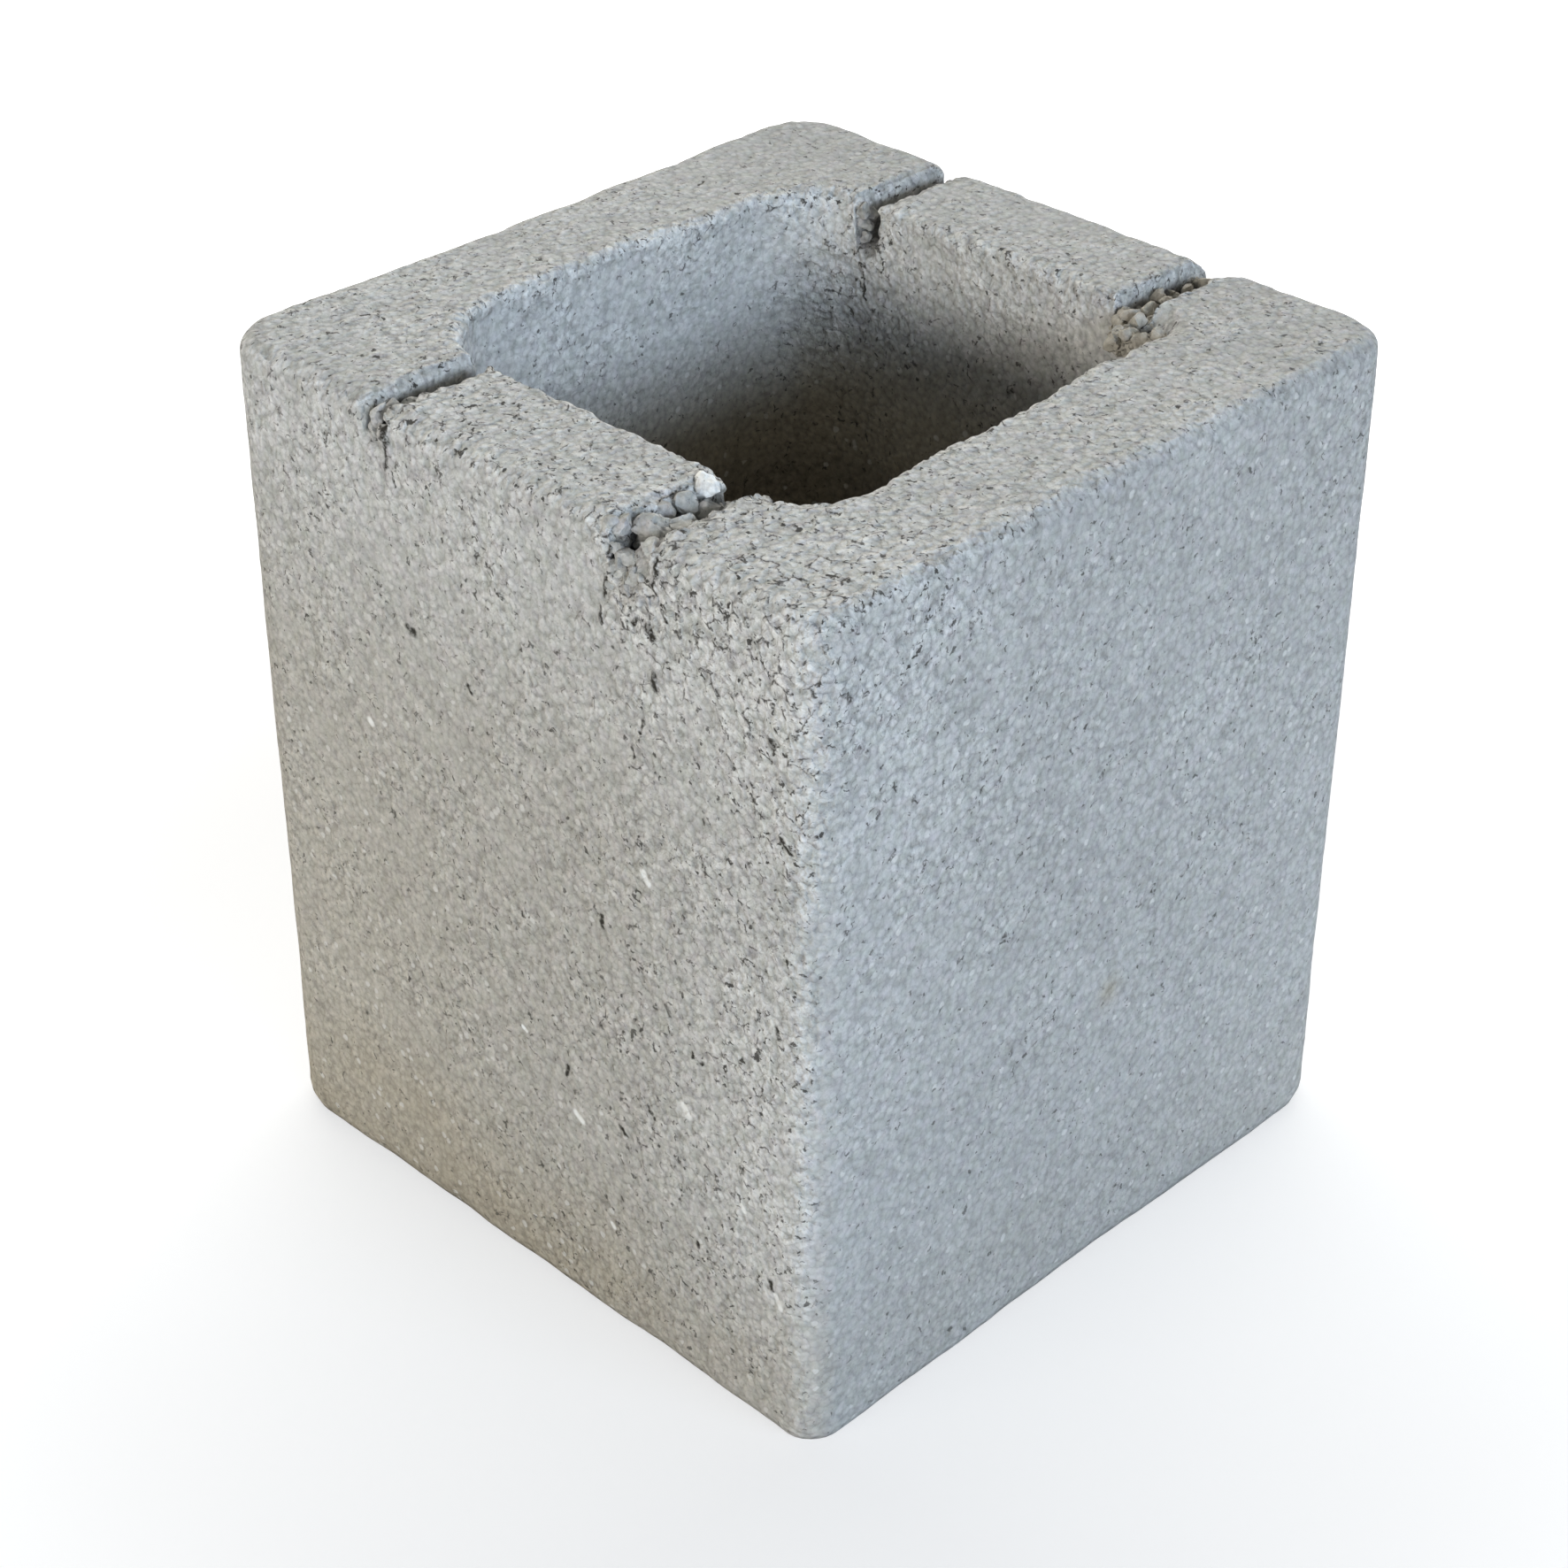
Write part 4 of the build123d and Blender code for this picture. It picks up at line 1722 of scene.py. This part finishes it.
@dataclass(frozen=True)
class ConcreteFinish:
    """Grey dry-cast concrete.

    Attributes:
        name: material name.
        paste: colour of the cement paste and sand, linear.
        pale: colour of the palest grains.
        white: colour of the few white stones at known places.
        dark: colour inside pits and fissures.
        warm: colour that warm patches lean to.
        brown_and_shade: colour of the dust.
        grain: size of the small grains.
        rare: share of the grains that aren't of the palest kind.
        crack: width of a fissure in millimetres.
        deepest: how dark pits and fissures are on closed and on loose skin.
        bump: strength of the relief on closed and on loose skin.
        roughness: how matt it is.
        specular: strength of its sheen.
        marked: whether the cracks, holes and pale stones at known places are drawn.
    """

    name: str
    paste: Colour
    pale: Colour
    white: Colour
    dark: Colour
    warm: Colour
    brown_and_shade: Colour
    grain: float = 1.7
    rare: float = 0.975
    crack: float = 0.26
    deepest: tuple[float, float] = (0.68, 0.92)
    bump: tuple[float, float] = (0.35, 1.0)
    roughness: float = 0.93
    specular: float = 0.2
    marked: bool = False

    def build(self, groups: dict[str, Group]) -> bpy.types.Material:
        """Builds the material from the shared groups.

        Args:
            groups: the node groups "sand", "grains", "pits", "fissures" and "run", by name.

        Returns:
            The new material.
        """
        material = bpy.data.materials.new(self.name)
        w = new_wiring(material)
        place = w.times(w.node("ShaderNodeTexCoord").outputs["Object"], 1 / METRES)
        wear = w.mask("wear")
        crumble = w.mask("crumble")
        sand = groups["sand"].use(w, {"Place": place})
        bend = sand.outputs["Bend"]
        bent = w.vector("ADD", place, bend).outputs[0]
        nudged = w.vector("MULTIPLY_ADD", bend, (0.4, 0.4, 0.4), place).outputs[0]
        small = groups["grains"].use(w, {"Place": nudged, "Size": self.grain, "Rare": self.rare})
        pits = groups["pits"].use(w, {"Place": bent, "Loose": wear})
        shut = w.math("MULTIPLY_ADD", crumble, -0.07, w.span(wear, 0.0, 1.1, 0.66, 0.51))
        fissures = groups["fissures"].use(w, {
            "Place": bent, "Where": sand.outputs["Patch"], "Shut": shut,
            "Width": w.math("MULTIPLY_ADD", crumble, 0.12, self.crack)})
        colour = self.paste_colour(w, wear, sand, small)
        colour = w.blend(w.math("MULTIPLY", small.outputs["Pale"], 0.5), colour, self.pale)
        filled = w.span(sand.outputs["Tone"], 0.45, 0.6, 1.0, 0.65)
        beaded = w.math("MULTIPLY", fissures.outputs["Mask"], filled)
        opened = w.math("POWER", w.math("MAXIMUM", pits.outputs["Mask"], beaded), 1.5)
        darkness = w.math("MULTIPLY", opened, w.span(wear, 0.2, 0.9, *self.deepest))
        if self.marked:
            clean = w.node("ShaderNodeAttribute", attribute_name="clean").outputs["Vector"]
            jogged = w.vector("ADD", clean, bend).outputs[0]
            stones = self.runs(w, groups["run"], clean, PALE_STONES)
            colour = w.blend(w.math("MULTIPLY", stones, 0.9), colour, self.white)
            darkness = w.math("MULTIPLY", darkness, w.math("SUBTRACT", 1.0, stones))
            marks = self.runs(w, groups["run"], jogged, CRACKS + HOLES)
            marks = w.math("MULTIPLY", marks, w.span(sand.outputs["Tone"], 0.46, 0.64, 1.0, 0.65))
            darkness = w.math("MAXIMUM", darkness, marks)
        colour = w.blend(darkness, colour, self.dark)
        height = w.math("MULTIPLY", small.outputs["Height"], 1.6)
        height = w.math("MULTIPLY_ADD", sand.outputs["Height"], 0.6, height)
        height = w.math("MULTIPLY_ADD", sand.outputs["Patch"], 2.0, height)
        height = w.math("MULTIPLY", height, w.span(wear, 0.2, 0.9, *self.bump))
        bump = w.node("ShaderNodeBump", {"Strength": 1.0, "Distance": METRES, "Height": height})
        shader = w.node("ShaderNodeBsdfPrincipled", {
            "Base Color": colour, "Normal": bump.outputs[0], "Roughness": self.roughness,
            "Specular IOR Level": self.specular})
        w.node("ShaderNodeOutputMaterial", {"Surface": shader.outputs[0]})
        return material

    def runs(self, w: Wiring, group: Group, place: Socket,
             marks: tuple[Run, ...]) -> Socket:
        """Adds one placed run for each mark.

        Args:
            w: the material's wiring.
            group: the group of one run.
            place: the place that it reads.
            marks: the marks.

        Returns:
            The greatest of their masks.
        """
        total = None
        for mark in marks:
            inputs = {"Place": place, "From": mark.start, "To": mark.end, "Width": mark.width}
            mask = group.use(w, inputs).outputs["Mask"]
            total = mask if total is None else w.math("MAXIMUM", total, mask)
        return total

    def paste_colour(self, w: Wiring, wear: Socket, sand: bpy.types.Node,
                     small: bpy.types.Node) -> Socket:
        """Colours the paste: the mottle of sand and grains times the casting's tone, then the brown patches,
        stains and painted shade.

        Args:
            w: the material's wiring.
            wear: how open the texture is.
            sand: the placed group of the sand.
            small: the placed group of the small grains.

        Returns:
            The colour.
        """
        own = w.mask("tone")
        brown_shade_mask = w.mask("brown_and_shade")
        mottle = w.math("MULTIPLY_ADD", sand.outputs["Tone"], 0.9, -0.45)
        mottle = w.math("MULTIPLY_ADD", sand.outputs["Patch"], 0.3, w.math("SUBTRACT", mottle, 0.15))
        mottle = w.math("MULTIPLY_ADD", small.outputs["Tone"], 0.28, w.math("SUBTRACT", mottle, 0.14))
        mottle = w.math("MULTIPLY_ADD", small.outputs["Joint"], -0.3, w.math("ADD", mottle, 0.12))
        grain = w.math("MULTIPLY_ADD", mottle, w.span(wear, 0.0, 0.9, 0.6, 1.15), 1.0)
        level = w.math("MULTIPLY", w.math("MULTIPLY", grain, own), w.span(wear, 0.3, 1.0, 1.0, 1.18))
        colour = w.blend(1.0, self.paste, w.grey(level), "MULTIPLY")
        colour = w.blend(0.05, colour, sand.outputs["Tint"], "OVERLAY")
        leaning = w.span(sand.outputs["Patch"], 0.5, 0.3)
        colour = w.blend(w.math("MULTIPLY", leaning, 0.2), colour, self.warm)
        # Deep in the shaft, where the mask passes 1.5, the brown turns towards the dark colour as painted
        # shade
        thick = w.blend(w.span(brown_shade_mask, 1.5, 1.9, 0.0, 0.4), self.brown_and_shade, self.dark)
        thick = w.blend(1.0, thick, w.grey(grain), "MULTIPLY")
        return w.blend(w.math("MULTIPLY", brown_shade_mask, 0.5), colour, thick)


DRY_CAST = ConcreteFinish(
    name="dry cast concrete", paste=(0.452, 0.452, 0.44, 1.0), pale=(0.7, 0.69, 0.66, 1.0),
    white=(0.86, 0.86, 0.83, 1.0), dark=(0.036, 0.033, 0.027, 1.0), warm=(0.42, 0.385, 0.33, 1.0),
    brown_and_shade=(0.37, 0.322, 0.236, 1.0),
)
DRY_CAST_MARKED = replace(DRY_CAST, name="dry cast concrete with marks", marked=True)


@dataclass(frozen=True)
class Viewpoint:
    """The camera.

    Attributes:
        place: where it stands, in metres.
        azimuth: the way it looks, in degrees from +Y towards -X.
        elevation: how far down it looks, in degrees.
        lens: its focal length in millimetres.
        sensor: width of its sensor in millimetres.
        reach: nearest and farthest distance that it sees, in metres.
    """

    place: Triple = (0.50307, -0.51532, 0.56645)
    azimuth: float = 44.7915
    elevation: float = 32.8978
    lens: float = 75.80
    sensor: float = 36.0
    reach: tuple[float, float] = (0.05, 50.0)

    def build(self) -> bpy.types.Object:
        """Makes the camera and the scene's view through it.

        Returns:
            The camera.
        """
        data = bpy.data.cameras.new("camera")
        data.lens, data.sensor_width = self.lens, self.sensor
        data.clip_start, data.clip_end = self.reach
        camera = add_object("camera", data)
        camera.location = self.place
        camera.rotation_euler = Euler((math.radians(90 - self.elevation), 0.0, math.radians(self.azimuth)))
        bpy.context.scene.camera = camera
        return camera


@dataclass(frozen=True)
class SoftLamp:
    """A large soft panel far off that faces the block.

    Attributes:
        name: name of the lamp.
        azimuth: side it stands on in degrees, 0 for the front and 90 for the right.
        elevation: its height above the horizon in degrees.
        size: its width and height in metres.
        glow: radiance of its face in red, green and blue.
        distance: how far it stands from the block, in metres.
        aim: height of the point that it faces, in metres.
    """

    name: str
    azimuth: float
    elevation: float
    size: tuple[float, float]
    glow: Triple
    distance: float = 6.0
    aim: float = 0.2

    def build(self) -> bpy.types.Object:
        """Makes the lamp, whose power is pi times its area times the strongest radiance.

        Returns:
            The lamp.
        """
        data = bpy.data.lights.new(self.name, "AREA")
        data.shape = "RECTANGLE"
        data.size, data.size_y = self.size
        strongest = max(self.glow)
        data.energy = math.pi * data.size * data.size_y * strongest
        data.color = [part / strongest for part in self.glow]
        lamp = add_object(self.name, data)
        turn, lift = math.radians(self.azimuth), math.radians(self.elevation)
        away = Vector((math.sin(turn) * math.cos(lift), -math.cos(turn) * math.cos(lift), math.sin(lift)))
        lamp.location = away * self.distance + Vector((0, 0, self.aim))
        lamp.rotation_euler = Euler((math.radians(90) - lift, 0.0, turn))
        return lamp


@dataclass(frozen=True)
class Studio:
    """Pale floor, white surroundings and soft light: a cool window, a warm one and a fill from behind.

    Attributes:
        floor_size: width of the floor in metres.
        floor_tone: its grey as the light that bounces sees it.
        floor_seen: its grey as the camera sees it, to which its glow is added.
        glow: strength of that glow at the block and further off.
        glow_reach: distances in metres between which the glow rises.
        sky: strength of the light from all around.
        lamps: the soft lamps.
    """

    floor_size: float = 40.0
    floor_tone: float = 0.8
    floor_seen: float = 0.45
    glow: tuple[float, float] = (0.62, 1.0)
    glow_reach: tuple[float, float] = (0.2, 0.5)
    sky: float = 0.065
    lamps: tuple[SoftLamp, ...] = (
        SoftLamp("cool_window", 82.0, 18.5, (6.6, 1.35), (7.7, 9.3, 11.3)),
        SoftLamp("warm_window", -2.0, 10.0, (5.0, 0.95), (12.4, 11.8, 10.8)),
        SoftLamp("back_fill", 225.0, 45.0, (8.6, 1.95), (7.4, 7.3, 6.9)),
    )

    def build(self) -> None:
        """Makes the floor, the lamps and the world."""
        self.build_floor()
        self.build_world()
        for lamp in self.lamps:
            lamp.build()
        bpy.context.scene.view_settings.view_transform = "Standard"

    def build_floor(self) -> None:
        """Makes the floor: pale for light that bounces, and for the camera white from half a metre off."""
        half = self.floor_size / 2
        mesh = bpy.data.meshes.new("floor")
        corners = [(-half, -half, 0.0), (half, -half, 0.0), (half, half, 0.0), (-half, half, 0.0)]
        mesh.from_pydata(corners, [], [(0, 1, 2, 3)])
        floor = add_object("floor", mesh)
        material = bpy.data.materials.new("pale floor")
        w = new_wiring(material)
        seen = w.node("ShaderNodeLightPath").outputs["Is Camera Ray"]
        tones = [(tone, tone, tone, 1.0) for tone in (self.floor_tone, self.floor_seen)]
        diffuse = w.node("ShaderNodeBsdfDiffuse", {"Color": w.blend(seen, *tones)})
        coordinates = w.node("ShaderNodeTexCoord")
        away = w.vector("LENGTH", coordinates.outputs["Object"]).outputs["Value"]
        glow = w.math("MULTIPLY", seen, w.span(away, *self.glow_reach, *self.glow))
        white = w.node("ShaderNodeEmission", {"Color": WHITE, "Strength": glow})
        shader = w.node("ShaderNodeAddShader", {0: diffuse.outputs[0], 1: white.outputs[0]})
        w.node("ShaderNodeOutputMaterial", {"Surface": shader.outputs[0]})
        mesh.materials.append(material)

    def build_world(self) -> None:
        """Makes the world: dim to the block, white to the camera."""
        world = bpy.data.worlds.new("studio")
        bpy.context.scene.world = world
        w = new_wiring(world)
        sky = w.node("ShaderNodeBackground", {"Color": WHITE, "Strength": self.sky})
        white = w.node("ShaderNodeBackground", {"Color": WHITE, "Strength": 1.0})
        path = w.node("ShaderNodeLightPath")
        seen = w.math("MAXIMUM", path.outputs["Is Camera Ray"], path.outputs["Is Glossy Ray"])
        seen = w.math("MAXIMUM", seen, path.outputs["Is Transmission Ray"])
        mixed = w.node("ShaderNodeMixShader", {0: seen, 1: sky.outputs[0], 2: white.outputs[0]})
        w.node("ShaderNodeOutputWorld", {"Surface": mixed.outputs[0]})


def report(piece: bpy.types.Object) -> None:
    """Logs a piece with its number of triangles."""
    triangles = sum(len(face.vertices) - 2 for face in piece.data.polygons)
    log.info("%s: %d triangles", piece.name, triangles)


def is_marked(points: np.ndarray, faces: Faces, margin: float = 5.0) -> np.ndarray:
    """Says of each face whether its first point is near the line of a mark at a known place.

    Args:
        points: the piece's points.
        faces: its faces.
        margin: how far beyond a mark's edge still counts.

    Returns:
        One truth value for each face.
    """
    first = points[np.array([face[0] for face in faces])]
    near = np.zeros(len(faces), bool)
    for mark in CRACKS + HOLES + PALE_STONES:
        start, run = np.array(mark.start), np.array(mark.end) - np.array(mark.start)
        share = np.clip((first - start) @ run / (run @ run), 0, 1)
        near |= np.linalg.norm(first - start - share[:, None] * run, axis=1) < mark.width + margin
    return near


def settle(piece: bpy.types.Object, *materials: bpy.types.Material) -> None:
    """Gives a piece its materials and its place in the frame, and reports it.

    Args:
        piece: the piece.
        materials: its materials in the order of their numbers.
    """
    for material in materials:
        piece.data.materials.append(material)
    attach(piece, ROOT_BODY)
    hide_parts(BLOCK_NODE)
    report(piece)


def main() -> None:
    """Builds the camera, the casting, its grit and the studio."""
    logging.basicConfig(level=logging.INFO, format="%(name)s: %(message)s")
    Viewpoint().build()
    groups = {
        "sand": build_sand_group(), "grains": build_grain_group(), "pits": build_pit_group(),
        "fissures": build_fissure_group(), "run": build_run_group(),
    }
    concrete, marked = DRY_CAST.build(groups), DRY_CAST_MARKED.build(groups)
    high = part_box(BLOCK_NODE)[1]
    block = CastBlock(half_width=high.x / METRES, half_depth=high.y / METRES, tall=high.z / METRES)
    points, faces, uvs, marks = block.skin()
    points, masks = Weathering().apply(points, faces, marks)
    cast = make_piece("cast_block", points, faces, uvs, masks)
    settle(cast, concrete, marked)
    cast.data.polygons.foreach_set("material_index", is_marked(points, faces).astype(np.int32))
    points, faces, masks = StoneHeap().build()
    settle(make_piece("slot_grit", points, faces, None, masks, smooth=False), concrete)
    Studio().build()


if __name__ == "__main__":
    main()
